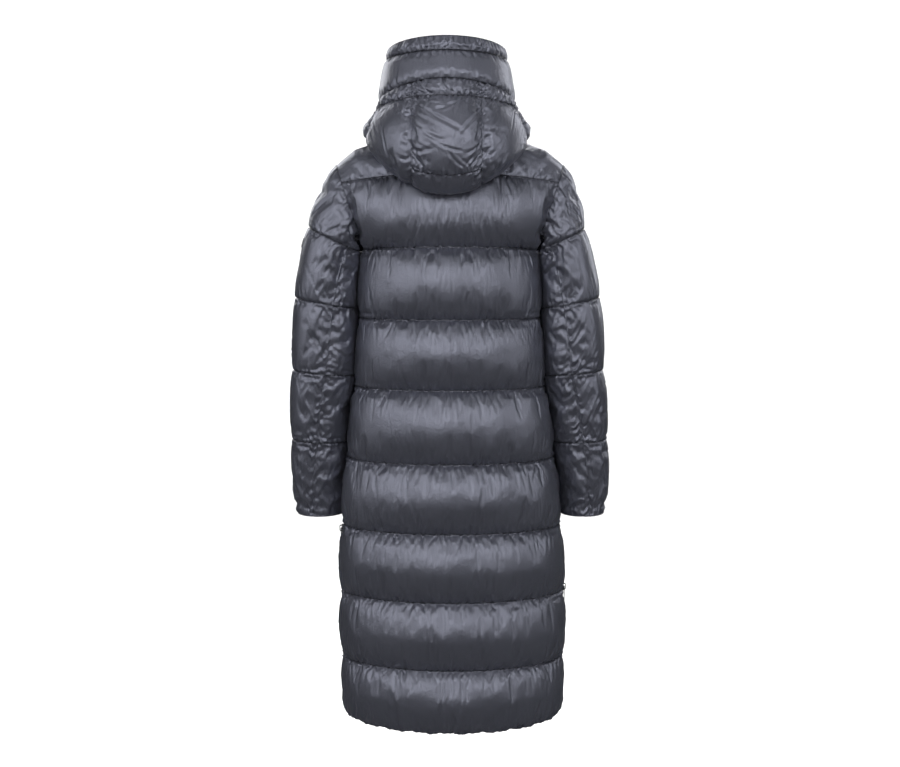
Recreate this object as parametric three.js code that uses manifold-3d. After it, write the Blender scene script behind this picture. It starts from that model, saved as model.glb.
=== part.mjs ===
// A long hooded puffer coat, filled out as if worn, with nobody inside it.
// Millimetres, +Z up, the front faces -Y and the wearer's left is +X.
// The origin is the middle of the neck, level with the top of the shoulders.
import * as THREE from "three";
import Module from "manifold-3d";

const manifold = await Module();
manifold.setup();

// Cloth
const SEAM_WALL = 4; // padded cloth where a stitch line presses it flat
const SEAM_GAP = 0.3; // between two pieces that are sewn to each other
const HEM_WALL = 7; // the rounded, turned edge at the hem and the cuffs
const EDGE_RISE = 9; // how soon the padding fills out beside a sewn edge
const NECK_FLAT = 6; // the width beside the neck and the zip that is pressed flat
const ROW_STEPS = [0, 0.1, 0.35, 0.65, 0.9, 1]; // rows across one quilted channel
const SLEEVE_STEPS = [0, 0.12, 0.5, 0.88, 1];
const ARMHOLE_STEPS = [0, 0.24, 0.56, 0.88, 1];
const HALF_COLUMNS = [0, 0.07, 0.2, 0.36, 0.52, 0.68, 0.82, 0.92, 1];

// How high the padding stands over the stitch lines, in the middle of a channel.
const BODY_PADDING = { back: 18, front: 14, armhole: 9, side: 7, yoke: 2, shoulder: 11 };
const SLEEVE_PADDING = { inner: 4, outer: 6.5 };
const HOOD_PADDING = { bag: 8, lowBand: 6, under: 0.25, brim: 6, casing: 3 };

// Heights of the stitch lines round the body, from the hem up to the armpit.
const HEM = -1092;
const ARMPIT = -210;
const BODY_SEAMS = [HEM, -976, -851, -726, -600, -467, -340, ARMPIT];
const HEM_CORNER = 10; // how much higher the hem is at the vents than in the middle
const VENT_TOP = -726; // the side zips run from here down to the hem

// The plain inside of the body below the armpits.
const TORSO = [
  { z: HEM, side: 199, back: 128, front: 124 },
  { z: -976, side: 203, back: 129, front: 125 },
  { z: -851, side: 204, back: 130, front: 125 },
  { z: -726, side: 199, back: 128, front: 124 },
  { z: -600, side: 185, back: 124, front: 122 },
  { z: -514, side: 177, back: 119, front: 120 },
  { z: -430, side: 165, back: 114, front: 118 },
  { z: -340, side: 162, back: 113, front: 120 },
  { z: ARMPIT, side: 153, back: 108, front: 118 },
];

// The armhole is an ellipse that leans out at the top. Its angle is 0 at the shoulder point,
// 90 at the back, 180 at the armpit and -90 at the front.
const ARMHOLE = { x: 180, z: -137.5, halfHeight: 82, halfDepth: 56, tilt: 70.8 };

// Above the armpits a row runs from the middle of the back, the neck or the front zip to the armhole.
const BACK_YOKE_SEAM = 55.8;
const NECK_BACK = 37;
const FRONT_YOKE_SEAM = -29.3;
const NECK_FRONT = -62;
const CHEST_SEAM = -84.5;
const UPPER_BACK = [
  { angle: 180, y: 108, z: ARMPIT, turn: 90 },
  { angle: 138, y: 106, z: -168, turn: 76 },
  { angle: 100, y: 102, z: -128, turn: 62 },
  { angle: BACK_YOKE_SEAM, y: 94, z: -78, turn: 48 },
  { angle: 46, y: 81, z: -46, turn: 42 },
  { angle: NECK_BACK, y: 68, z: -14, turn: 36 },
];
const NECK_ROWS = [
  { angle: NECK_BACK, neck: 0, turn: 36 },
  { angle: 28, neck: 24, turn: 28 },
  { angle: 18, neck: 48, turn: 20 },
  { angle: 8, neck: 72, turn: 13 },
  { angle: -4, neck: 98, turn: 10 },
  { angle: -16, neck: 116, turn: 13 },
  { angle: FRONT_YOKE_SEAM, neck: 130, turn: 18 },
  { angle: -45, neck: 150, turn: 26 },
  { angle: NECK_FRONT, neck: 175, turn: 36 },
];
const UPPER_FRONT = [
  { angle: NECK_FRONT, y: -83.6, z: -61.6, turn: 36 },
  { angle: CHEST_SEAM, y: -96, z: -108, turn: 50 },
  { angle: -115, y: -107, z: -150, turn: 63 },
  { angle: -145, y: -114, z: -185, turn: 76 },
  { angle: -180, y: -118, z: ARMPIT, turn: 90 },
];
const NECK = { side: 86, sideY: 2, sideZ: -1, backY: 68, backZ: -14, frontY: -84, frontZ: -62 };

// The sleeve's inside, as rings. ring counts stitch lines: 0 is the armhole and 5 the cuff.
// left and right are how much further out the outer edge hangs on that sleeve, and
// leftIn and rightIn the inner edge.
const CUFF_RING = 5;
const SLEEVE = [
  { ring: 0, x: 180, y: 0, z: -137.5, half: 82, depth: 56, tilt: 70.8,
    left: 0, right: 0, leftIn: 0, rightIn: 0 },
  { ring: 0.5, x: 196.5, y: 0, z: -162.5, half: 58.5, depth: 58, tilt: 55,
    left: 2, right: -3, leftIn: 0, rightIn: 0 },
  { ring: 1, x: 211.5, y: 0, z: -196.5, half: 46, depth: 60, tilt: 28,
    left: 4, right: -11, leftIn: 0, rightIn: 0 },
  { ring: 1.5, x: 220.5, y: -1, z: -249, half: 43.5, depth: 61, tilt: 14,
    left: 5, right: -6, leftIn: 0, rightIn: -2 },
  { ring: 2, x: 226.5, y: -2, z: -312.5, half: 46, depth: 60, tilt: 11,
    left: 9, right: -1, leftIn: -2, rightIn: -5 },
  { ring: 2.5, x: 228.5, y: -3, z: -378, half: 46.5, depth: 58, tilt: 8,
    left: 8, right: 1, leftIn: 0, rightIn: -2 },
  { ring: 3, x: 232, y: -6, z: -442, half: 46.5, depth: 56, tilt: 5,
    left: 9, right: 1, leftIn: 0, rightIn: -3 },
  { ring: 3.5, x: 239.5, y: -11, z: -508, half: 41.5, depth: 52, tilt: 3,
    left: 8, right: 3, leftIn: 0, rightIn: -1 },
  { ring: 4, x: 242, y: -17, z: -571, half: 39.5, depth: 49, tilt: 2,
    left: 9, right: 7, leftIn: 0, rightIn: 1 },
  { ring: 4.5, x: 246.5, y: -25, z: -642, half: 35, depth: 46, tilt: 1,
    left: 7, right: 8, leftIn: 0, rightIn: 4 },
  { ring: CUFF_RING, x: 243.5, y: -34, z: -713, half: 35, depth: 42, tilt: 0,
    left: 6, right: 9, leftIn: 0, rightIn: 8 },
];
// Where the two long seams of a sleeve lie round each ring, in degrees from the outside.
const SLEEVE_SEAMS = [
  { ring: 0, back: 138, front: -115 },
  { ring: 1, back: 124, front: -115 },
  { ring: 2, back: 108, front: -115 },
  { ring: 3, back: 97, front: -115 },
  { ring: 4, back: 88, front: -115 },
  { ring: CUFF_RING, back: 75, front: -115 },
];

// The hood hangs down behind. Its inside goes from the neck seam under the bag, out and up to the rim.
const HOOD_BAG_SEAM = 4;
const HOOD_LOW_SEAM = 7;
const HOOD_HIGH_SEAM = 8;
const CASING_SEAM = 9;
const RIM = 10;
const HOOD = [
  { level: 0, backY: 77, backZ: -6, sideX: 92.5, sideY: 1, sideZ: 10.6, frontY: -87.5, frontZ: -55.5 },
  { level: 1, backY: 101, backZ: -27, sideX: 114, sideY: 7, sideZ: 8, frontY: -89, frontZ: -43 },
  { level: 2, backY: 119, backZ: -66, sideX: 129, sideY: 12, sideZ: 5, frontY: -93, frontZ: -29 },
  { level: 3, backY: 144, backZ: -108, sideX: 138, sideY: 16, sideZ: -1, frontY: -97, frontZ: -17 },
  { level: 4, backY: 175, backZ: -85, sideX: 142, sideY: 18, sideZ: 4, frontY: -99, frontZ: -7 },
  { level: 5, backY: 182, backZ: -30, sideX: 137, sideY: 18, sideZ: 12, frontY: -101, frontZ: 4 },
  { level: 6, backY: 167, backZ: 18, sideX: 131, sideY: 17, sideZ: 23, frontY: -102, frontZ: 14 },
  { level: 7, backY: 145, backZ: 51, sideX: 125, sideY: 15, sideZ: 36, frontY: -102, frontZ: 24 },
  { level: 8, backY: 131, backZ: 83, sideX: 118, sideY: 12, sideZ: 52, frontY: -101, frontZ: 34 },
  { level: 9, backY: 113, backZ: 134, sideX: 105, sideY: 3, sideZ: 130, frontY: -97, frontZ: 66 },
  { level: 10, backY: 106, backZ: 161, sideX: 103, sideY: 0, sideZ: 150, frontY: -93, frontZ: 84 },
];
const HOOD_CENTRE_HALF = 59; // half the width of the hood's middle panel
const HOOD_SIDE_SEAM = 74; // where a side panel meets the front band, in degrees from the back
const HOOD_LEVELS = [0, 0.5, 1.2, 2.2, 3.1, 3.8, 4, 4.25, 5, 6, 6.75, 7, 7.5, 8];

// Zips
const ZIP_HALF = 7; // half the front zip's width, tapes included
const VENT_ZIP_HALF = 4;
const ZIP_EDGE = 7.4; // where a front panel stops short of the middle
const VENT_EDGE = 4.4; // where a panel stops short of the side
const TAPE = 2.2;
const CHAIN_HALF = 2.7;
const CHAIN_TOP = 3.8;
const LEFT_SLIDER_Z = -738;
const RIGHT_SLIDER_Z = -850;
const FRONT_SLIDER_Z = 70;

// The patch on the left sleeve: where its columns start from the middle, how far down its row
// it goes, which way it faces, how far off the cloth it lies, and its thickness.
const PATCH = { column: -3, down: [0.1, 0.5], angle: 10, gap: 0.4, thick: 1.2 };

// The body hangs a little to the wearer's right low down, and the hood to the left.
const LEAN = { from: -500, to: -960, by: -5 };
const HOOD_SHIFT = 6;

const radians = THREE.MathUtils.degToRad;
const clamp = THREE.MathUtils.clamp;

// A smooth value between the rows of a table, with no overshoot.
function smoothValue(knots, values, at) {
  const last = knots.length - 1;
  if (at <= knots[0]) return values[0];
  if (at >= knots[last]) return values[last];
  let i = 0;
  while (at > knots[i + 1]) i += 1;
  const slope = (k) => (values[k + 1] - values[k]) / (knots[k + 1] - knots[k]);
  const tangent = (k) => {
    if (k === 0) return slope(0);
    if (k === last) return slope(last - 1);
    const before = slope(k - 1);
    const after = slope(k);
    return before * after <= 0 ? 0 : (2 * before * after) / (before + after);
  };
  const step = knots[i + 1] - knots[i];
  const t = (at - knots[i]) / step;
  const t2 = t * t;
  const t3 = t2 * t;
  return (
    (2 * t3 - 3 * t2 + 1) * values[i] +
    (t3 - 2 * t2 + t) * step * tangent(i) +
    (3 * t2 - 2 * t3) * values[i + 1] +
    (t3 - t2) * step * tangent(i + 1)
  );
}

function rowAt(table, key, at) {
  const sorted = [...table].sort((a, b) => a[key] - b[key]);
  const knots = sorted.map((row) => row[key]);
  const row = {};
  for (const column of Object.keys(table[0])) {
    row[column] = smoothValue(knots, sorted.map((entry) => entry[column]), at);
  }
  return row;
}

function ellipseRing(ring, angle) {
  const out = ring.half * Math.cos(radians(angle));
  return new THREE.Vector3(
    ring.x + out * Math.cos(radians(ring.tilt)),
    ring.y + ring.depth * Math.sin(radians(angle)),
    ring.z + out * Math.sin(radians(ring.tilt)),
  );
}

function armholePoint(angle) {
  const ring = { ...ARMHOLE, y: 0, half: ARMHOLE.halfHeight, depth: ARMHOLE.halfDepth };
  return ellipseRing(ring, angle);
}

function neckPoint(angle) {
  const c = Math.cos(radians(angle));
  const reach = c > 0 ? NECK.backY - NECK.sideY : NECK.sideY - NECK.frontY;
  const rise = c > 0 ? (NECK.backZ - NECK.sideZ) * c ** 1.35 : (NECK.frontZ - NECK.sideZ) * (-c) ** 1.6;
  return new THREE.Vector3(NECK.side * Math.sin(radians(angle)), NECK.sideY + reach * c, NECK.sideZ + rise);
}

// A row of the body's inside. climb is the height up to the armpit, and above it
// ARMPIT plus the degrees gone round the armhole.
const climbOf = (angle) => ARMPIT + 180 - Math.abs(angle);
const YOKE_END = ARMPIT + 180 - FRONT_YOKE_SEAM;

function bodyRow(isBack, climb) {
  if (climb <= ARMPIT) {
    const at = rowAt(TORSO, "z", climb);
    const sag = 5 * clamp(1 - (ARMPIT - climb) / 100, 0, 1);
    const corner = HEM_CORNER * clamp(1 - (climb - HEM) / (BODY_SEAMS[1] - HEM), 0, 1);
    return {
      start: new THREE.Vector3(isBack ? 0 : ZIP_EDGE, isBack ? at.back : -at.front, climb),
      end: new THREE.Vector3(at.side, 0, climb - sag + corner),
      turn: 90,
      bend: 2.2,
    };
  }
  const angle = isBack ? 180 - (climb - ARMPIT) : (climb - ARMPIT) - 180;
  const bend = 1 + 0.9 * Math.abs(Math.sin(radians(angle / 2)));
  const end = armholePoint(angle);
  if (angle > NECK_BACK || angle < NECK_FRONT) {
    const at = rowAt(angle > 0 ? UPPER_BACK : UPPER_FRONT, "angle", angle);
    return { start: new THREE.Vector3(angle > 0 ? 0 : ZIP_EDGE, at.y, at.z), end, turn: at.turn, bend };
  }
  const at = rowAt(NECK_ROWS, "angle", angle);
  return { start: neckPoint(at.neck), end, turn: at.turn, bend };
}

function bodyPoint(isBack, climb, u) {
  const row = bodyRow(isBack, climb);
  const turn = radians(row.turn);
  const across = Math.sin(u * turn) / Math.sin(turn);
  const round = (Math.cos(u * turn) - Math.cos(turn)) / (1 - Math.cos(turn));
  return new THREE.Vector3(
    row.start.x + (row.end.x - row.start.x) * across,
    row.end.y + (row.start.y - row.end.y) * round,
    row.start.z + (row.end.z - row.start.z) * Math.sign(u) * Math.abs(u) ** row.bend,
  );
}

// The outward direction of a surface point(a, b), with the steps taken inside a's limits.
function outward(point, a, b, lowest, highest, away) {
  const step = 0.02;
  const a0 = clamp(a - step, lowest, highest);
  const a1 = clamp(a + step, lowest, highest);
  const along = point(a1, b).sub(point(a0, b));
  const across = point(a, b + step / 10).sub(point(a, b - step / 10));
  const normal = along.cross(across).normalize();
  return normal.dot(away) < 0 ? normal.negate() : normal;
}

function bodyNormal(isBack, climb, u) {
  const highest = isBack ? YOKE_END : climbOf(FRONT_YOKE_SEAM);
  const here = bodyPoint(isBack, climb, u);
  const away = new THREE.Vector3(here.x, here.y, climb > ARMPIT ? 60 : 0);
  return outward((a, b) => bodyPoint(isBack, a, b), climb, u, HEM, highest, away);
}

function sleevePoint(side, ring, angle) {
  const at = rowAt(SLEEVE, "ring", ring);
  const outer = at[side] / 2;
  const inner = at[`${side}In`] / 2;
  return ellipseRing({ ...at, x: at.x + outer + inner, half: at.half + outer - inner }, angle);
}

function sleeveNormal(side, ring, angle) {
  const at = rowAt(SLEEVE, "ring", ring);
  const away = sleevePoint(side, ring, angle).sub(new THREE.Vector3(at.x, at.y, at.z));
  return outward((a, b) => sleevePoint(side, a, b * 50), ring, angle / 50, 0, CUFF_RING, away);
}

// At the armhole both walls share one mitred edge, so that neither cuts the other.
function armholeMitre(angle) {
  const isBack = angle >= FRONT_YOKE_SEAM;
  const body = bodyNormal(isBack, isBack ? ARMPIT + 180 - angle : climbOf(angle), 1);
  const sleeve = sleeveNormal("left", 0, angle);
  const half = Math.sqrt(Math.max((1 + body.dot(sleeve)) / 2, 0.35));
  return body.add(sleeve).normalize().divideScalar(half);
}

const crown = (s) => Math.max(0, 1 - Math.abs(2 * s - 1) ** 3) ** 0.8;
const rise = (distance) => 1 - Math.exp(-((Math.max(distance, 0) / EDGE_RISE) ** 1.3));

// Joins a grid of inside and outside points into one closed wall.
function wallGeometry(grid) {
  const rows = grid.length;
  const columns = grid[0].length;
  const positions = [];
  for (const side of ["inside", "outside"]) {
    for (const row of grid) for (const cell of row) positions.push(...cell[side].toArray());
  }
  const at = (side, r, c) => side * rows * columns + r * columns + c;
  const faces = [];
  const quad = (a, b, c, d) => faces.push(a, b, c, a, c, d);
  for (let r = 0; r + 1 < rows; r += 1) {
    for (let c = 0; c + 1 < columns; c += 1) {
      quad(at(1, r, c), at(1, r, c + 1), at(1, r + 1, c + 1), at(1, r + 1, c));
      quad(at(0, r, c), at(0, r + 1, c), at(0, r + 1, c + 1), at(0, r, c + 1));
    }
    quad(at(0, r, 0), at(1, r, 0), at(1, r + 1, 0), at(0, r + 1, 0));
    quad(at(0, r, columns - 1), at(0, r + 1, columns - 1), at(1, r + 1, columns - 1), at(1, r, columns - 1));
  }
  for (let c = 0; c + 1 < columns; c += 1) {
    quad(at(0, 0, c), at(0, 0, c + 1), at(1, 0, c + 1), at(1, 0, c));
    quad(at(0, rows - 1, c), at(1, rows - 1, c), at(1, rows - 1, c + 1), at(0, rows - 1, c + 1));
  }
  return closedGeometry(positions, faces);
}

// A geometry whose faces all point outwards, whichever way round the grid was made.
function closedGeometry(positions, faces) {
  const corner = (i) => new THREE.Vector3().fromArray(positions, 3 * faces[i]);
  let volume = 0;
  for (let i = 0; i < faces.length; i += 3) volume += corner(i).dot(corner(i + 1).cross(corner(i + 2)));
  if (volume < 0) faces.reverse();
  const geometry = new THREE.BufferGeometry();
  geometry.setAttribute("position", new THREE.Float32BufferAttribute(positions, 3));
  geometry.setIndex(faces);
  return geometry;
}

function lean(point) {
  const t = THREE.MathUtils.smoothstep(LEAN.from - point.z, 0, LEAN.from - LEAN.to);
  point.x += LEAN.by * t;
  return point;
}

const leaning = (grid) => {
  for (const row of grid) {
    for (const cell of row) [cell.inside, cell.outside].forEach(lean);
  }
  return grid;
};

const hoodShift = (level) => HOOD_SHIFT * THREE.MathUtils.smoothstep(level, 0, 3);

const shiftedHood = (grid, levels) => {
  grid.forEach((row, r) => {
    for (const cell of row) for (const point of [cell.inside, cell.outside]) point.x += hoodShift(levels[r]);
  });
  return grid;
};

const shellCloth = new THREE.MeshStandardMaterial({ color: 0x4a4c55, roughness: 0.38 });
const zipCloth = new THREE.MeshStandardMaterial({ color: 0x15161a, roughness: 0.8 });
const zipHard = new THREE.MeshStandardMaterial({ color: 0x1b1c20, roughness: 0.35, metalness: 0.6 });
const coat = new THREE.Group();

function add(name, geometry, material) {
  const mesh = new THREE.Mesh(geometry, material);
  mesh.name = name;
  coat.add(mesh);
  return mesh;
}

// Mirrors a grid from the wearer's left to the right.
const flip = (point) => new THREE.Vector3(-point.x, point.y, point.z);
const mirrorGrid = (grid) =>
  grid.map((row) => row.map((cell) => ({ inside: flip(cell.inside), outside: flip(cell.outside) })));

// The rows of a stack of channels: where each row lies, and how far it is across its channel.
function channelRows(seams, steps) {
  const rows = [];
  for (let i = 0; i + 1 < seams.length; i += 1) {
    for (const s of steps) {
      if (i === 0 || s > 0) rows.push({ at: seams[i] + (seams[i + 1] - seams[i]) * s, s });
    }
  }
  return rows;
}

// How high the padding stands at the middle of a channel, at u from the middle of the body to the side.
function bodyPuff(isBack, climb, u) {
  const { back, front, armhole, side, yoke, shoulder } = BODY_PADDING;
  const middle = isBack ? back : front;
  const isYoke = isBack && climb > climbOf(BACK_YOKE_SEAM);
  if (isYoke) return yoke + (shoulder - yoke) * clamp((u - 0.6) / 0.25, 0, 1);
  if (climb > ARMPIT) return armhole + (middle - armhole) * Math.cos(u * 1.2);
  return side + (middle - side) * Math.cos((u * Math.PI) / 2) ** 1.2;
}

// One cell of a body wall, filled out by how far it is from the panel's sewn edges.
function bodyCell(isBack, row, u, isVent) {
  const { start, end } = bodyRow(isBack, row.at);
  const length = start.distanceTo(end);
  const isOnFold = isBack && row.at < climbOf(NECK_BACK);
  const fromStart = isOnFold ? length : u * length - NECK_FLAT;
  const stop = row.at > ARMPIT ? 0 : isVent ? VENT_EDGE : SEAM_GAP / 2;
  const atEdge = bodyPoint(isBack, row.at, 1).distanceTo(bodyPoint(isBack, row.at, 0.99)) / 0.01;
  const v = u === 1 ? 1 - stop / atEdge : u;
  const fill = rise((1 - u) * length) * rise(fromStart) * crown(row.s);
  const low = row.at === HEM ? HEM_WALL : SEAM_WALL;
  const wall = low + bodyPuff(isBack, row.at, u) * fill;
  const inside = bodyPoint(isBack, row.at, v);
  const angle = isBack ? 180 - (row.at - ARMPIT) : (row.at - ARMPIT) - 180;
  const direction = u === 1 && row.at >= ARMPIT - 0.01
    ? armholeMitre(clamp(angle, -180, 180))
    : bodyNormal(isBack, row.at, v);
  return { inside, outside: inside.clone().addScaledVector(direction, wall) };
}

// Moves the first and last rows of a panel in, so that it stops half a seam gap short.
function trimmed(rows, first, last) {
  return rows.map((row, i) => ({
    ...row,
    at: row.at + (i === 0 ? first : 0) - (i === rows.length - 1 ? last : 0),
  }));
}

const SEAM_CLIMB = 0.12; // half a seam gap, in degrees round the armhole

function bodyPanels() {
  const vent = (row) => row.at < VENT_TOP - 1;
  const backRows = trimmed(
    channelRows([...BODY_SEAMS, climbOf(BACK_YOKE_SEAM)], ROW_STEPS), 0, SEAM_CLIMB);
  const back = backRows.map((row) => {
    const half = HALF_COLUMNS.map((u) => bodyCell(true, row, u, vent(row)));
    const other = mirrorGrid([half])[0].slice(1).reverse();
    return [...other, ...half];
  });
  add("back_panel", wallGeometry(leaning(back)), shellCloth);

  const frontSeams = [...BODY_SEAMS, climbOf(CHEST_SEAM), climbOf(FRONT_YOKE_SEAM)];
  const frontRows = trimmed(channelRows(frontSeams, ROW_STEPS), 0, SEAM_CLIMB);
  const front = frontRows.map((row) => HALF_COLUMNS.map((u) => bodyCell(false, row, u, vent(row))));
  const right = mirrorGrid(front);
  add("front_panel_left", wallGeometry(leaning(front)), shellCloth);
  add("front_panel_right", wallGeometry(leaning(right)), shellCloth);
}

// The yoke lies over the shoulder, from the seam behind to the seam in front.
const YOKE_ANGLES = [BACK_YOKE_SEAM, 52, 46, NECK_BACK, 28, 18, 8, -4, -16, -25, FRONT_YOKE_SEAM];

function yokes() {
  const first = climbOf(BACK_YOKE_SEAM);
  const rows = trimmed(
    YOKE_ANGLES.map((angle) => {
      const at = ARMPIT + 180 - angle;
      return { at, s: (at - first) / (YOKE_END - first) };
    }), SEAM_CLIMB, SEAM_CLIMB);
  const grid = rows.map((row) => HALF_COLUMNS.map((u) => {
    const cell = bodyCell(true, row, u, false);
    if (u === 0 && row.at < climbOf(NECK_BACK)) {
      cell.inside.x += SEAM_GAP / 2;
      cell.outside.x += SEAM_GAP / 2;
    }
    return cell;
  }));
  add("shoulder_yoke_left", wallGeometry(grid), shellCloth);
  add("shoulder_yoke_right", wallGeometry(mirrorGrid(grid)), shellCloth);
}

// The sleeve's columns start on the armhole's own points and spread out evenly further down.
function sleeveColumns() {
  const backRows = channelRows([ARMPIT, climbOf(BACK_YOKE_SEAM)], ROW_STEPS);
  const frontRows = channelRows([ARMPIT, climbOf(CHEST_SEAM), climbOf(FRONT_YOKE_SEAM)], ROW_STEPS);
  const back = backRows.map((row) => 180 - (row.at - ARMPIT));
  const front = frontRows.map((row) => (row.at - ARMPIT) - 180).reverse().slice(1);
  return [...back, ...YOKE_ANGLES.slice(1), ...front];
}

function sleevePuff(angle) {
  const { inner, outer } = SLEEVE_PADDING;
  return inner + (outer - inner) * Math.sqrt((1 + Math.cos(radians(angle))) / 2);
}

const SLEEVE_RADIUS = 55; // about how far the sleeve's cloth is from its middle

function sleevePanel(side, columns, rows, isUpper) {
  const last = columns.length - 1;
  const girth = SLEEVE_RADIUS * radians(1);
  return rows.map((row) => {
    const seams = rowAt(SLEEVE_SEAMS, "ring", row.at);
    const from = isUpper ? seams.back : seams.front + 360;
    const to = isUpper ? seams.front : seams.back;
    const even = clamp(row.at / 1.2, 0, 1);
    return columns.map((start, c) => {
      const spread = from + ((to - from) * c) / last;
      let angle = start + (spread - start) * even;
      if (c === 0 || c === last) angle = c === 0 ? from : to;
      const edge = Math.min(Math.abs(angle - from), Math.abs(angle - to)) * girth;
      if (c === 0) angle -= Math.sign(from - to) * (SEAM_GAP / 2 / girth);
      if (c === last) angle += Math.sign(from - to) * (SEAM_GAP / 2 / girth);
      const low = row.at === CUFF_RING ? HEM_WALL : SEAM_WALL;
      const inside = sleevePoint(side, row.at, angle);
      const fromArmhole = row.at < 1 ? inside.distanceTo(sleevePoint(side, 0, angle)) : ARMHOLE.halfHeight;
      const wall = low + sleevePuff(angle) * rise(edge) * crown(row.s) * rise(fromArmhole - SEAM_WALL);
      const mitre = Math.exp(-((fromArmhole / EDGE_RISE) ** 2));
      const direction = sleeveNormal(side, row.at, angle).lerp(armholeMitre(wrapped(angle)), mitre);
      const outside = inside.clone().addScaledVector(direction, wall);
      if (row.at === 0) for (const point of [inside, outside]) point.add(armholeShift(angle));
      return { inside, outside };
    });
  });
}

const wrapped = (angle) => (angle > 180 ? angle - 360 : angle);

// The sleeve starts a little out of the armhole's plane, and further out at the armpit.
const ARMHOLE_GAP = { top: 0.8, armpit: 2.9 };

function armholeShift(angle) {
  const low = ((1 - Math.cos(radians(angle))) / 2) ** 3;
  const gap = ARMHOLE_GAP.top + (ARMHOLE_GAP.armpit - ARMHOLE_GAP.top) * low;
  const tilt = radians(ARMHOLE.tilt);
  return new THREE.Vector3(Math.sin(tilt), 0, -Math.cos(tilt)).multiplyScalar(gap);
}

function sleeves() {
  const columns = sleeveColumns();
  const rows = [
    ...channelRows([0, 1], ARMHOLE_STEPS),
    ...channelRows([1, 2, 3, 4, CUFF_RING], SLEEVE_STEPS).slice(1),
  ];
  const seams = rowAt(SLEEVE_SEAMS, "ring", 0);
  const upper = [
    seams.back,
    ...columns.filter((a) => a < seams.back - 2 && a > seams.front + 2),
    seams.front,
  ];
  const under = [
    seams.front + 360,
    ...columns.filter((a) => a < seams.front - 2).map((a) => a + 360).sort((a, b) => b - a),
    ...columns.filter((a) => a > seams.back + 2 && a < 179).sort((a, b) => b - a),
    seams.back,
  ];
  for (const [name, angles, isUpper] of [["upper", upper, true], ["under", under, false]]) {
    const left = sleevePanel("left", angles, rows, isUpper);
    const right = sleevePanel("right", angles, rows, isUpper);
    add(`sleeve_${name}_left`, wallGeometry(left), shellCloth);
    add(`sleeve_${name}_right`, wallGeometry(mirrorGrid(right)), shellCloth);
    if (isUpper) sleevePatch(left, angles, rows);
  }
}

// A plain patch on the outside of the left sleeve, just under the first stitch line.
// It is made from the panel's own outer points, moved out.
function sleevePatch(panel, angles, rows) {
  const r = rows.findIndex((row) => row.at > 1);
  const c = Math.round(angles.length / 2) + PATCH.column;
  const sample = (down, column) => {
    const point = panel[r][column].outside.clone().lerp(panel[r + 1][column].outside, down);
    const normal = sleeveNormal("left", rows[r].at, PATCH.angle);
    return { inside: point.clone().addScaledVector(normal, PATCH.gap), normal };
  };
  const grid = PATCH.down.map((down) => [c, c + 1, c + 2].map((column) => {
    const { inside, normal } = sample(down, column);
    return { inside, outside: inside.clone().addScaledVector(normal, PATCH.thick) };
  }));
  add("sleeve_patch", wallGeometry(grid), zipCloth);
}

function hoodPoint(level, angle) {
  const at = rowAt(HOOD, "level", level);
  const c = Math.cos(radians(angle));
  const reach = c > 0 ? at.backY - at.sideY : at.sideY - at.frontY;
  const lift = c > 0 ? (at.backZ - at.sideZ) * c ** 1.35 : (at.frontZ - at.sideZ) * (-c) ** 1.6;
  return new THREE.Vector3(at.sideX * Math.sin(radians(angle)), at.sideY + reach * c, at.sideZ + lift);
}

// Outward is to the left of the way up the hood, all the way from under the bag to the rim.
function hoodNormal(level, angle) {
  const low = clamp(level - 0.02, 0, RIM);
  const high = clamp(level + 0.02, 0, RIM);
  const up = hoodPoint(high, angle).sub(hoodPoint(low, angle));
  const round = hoodPoint(level, angle + 0.1).sub(hoodPoint(level, angle - 0.1));
  return round.cross(up).normalize().negate();
}

// A hood cell at an angle from the middle of the back, with its padding.
function hoodCell(level, angle, puff) {
  const inside = hoodPoint(level, angle);
  return { inside, outside: inside.clone().addScaledVector(hoodNormal(level, angle), SEAM_WALL + puff) };
}

// How far across its channel a level lies, for a panel with or without the seam across the bag.
function hoodChannel(level, hasBagSeam) {
  const seams = hasBagSeam
    ? [0, HOOD_BAG_SEAM, HOOD_LOW_SEAM, HOOD_HIGH_SEAM]
    : [0, HOOD_LOW_SEAM, HOOD_HIGH_SEAM];
  let i = 0;
  while (i + 2 < seams.length && level > seams[i + 1]) i += 1;
  return clamp((level - seams[i]) / (seams[i + 1] - seams[i]), 0, 1);
}

function hoodSeamAngles(level) {
  const at = rowAt(HOOD, "level", level);
  const degrees = (x) => THREE.MathUtils.radToDeg(Math.asin(x / at.sideX));
  return { centre: degrees(HOOD_CENTRE_HALF), side: HOOD_SIDE_SEAM, front: 180 - degrees(ZIP_EDGE) };
}

const HOOD_COLUMNS = [0, 0.1, 0.3, 0.5, 0.7, 0.9, 1];
const HOOD_MIDDLE_COLUMNS = [-1, -0.76, -0.3, 0.3, 0.76, 1];
const HOOD_SEAM_LEVEL = 0.006; // half a seam gap, as a share of a level

// The hood's padding is thin underneath and fills out where it turns up.
function hoodFilling(level) {
  const { under } = HOOD_PADDING;
  return under + (1 - under) * THREE.MathUtils.smoothstep(level, 2, 4);
}

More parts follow.
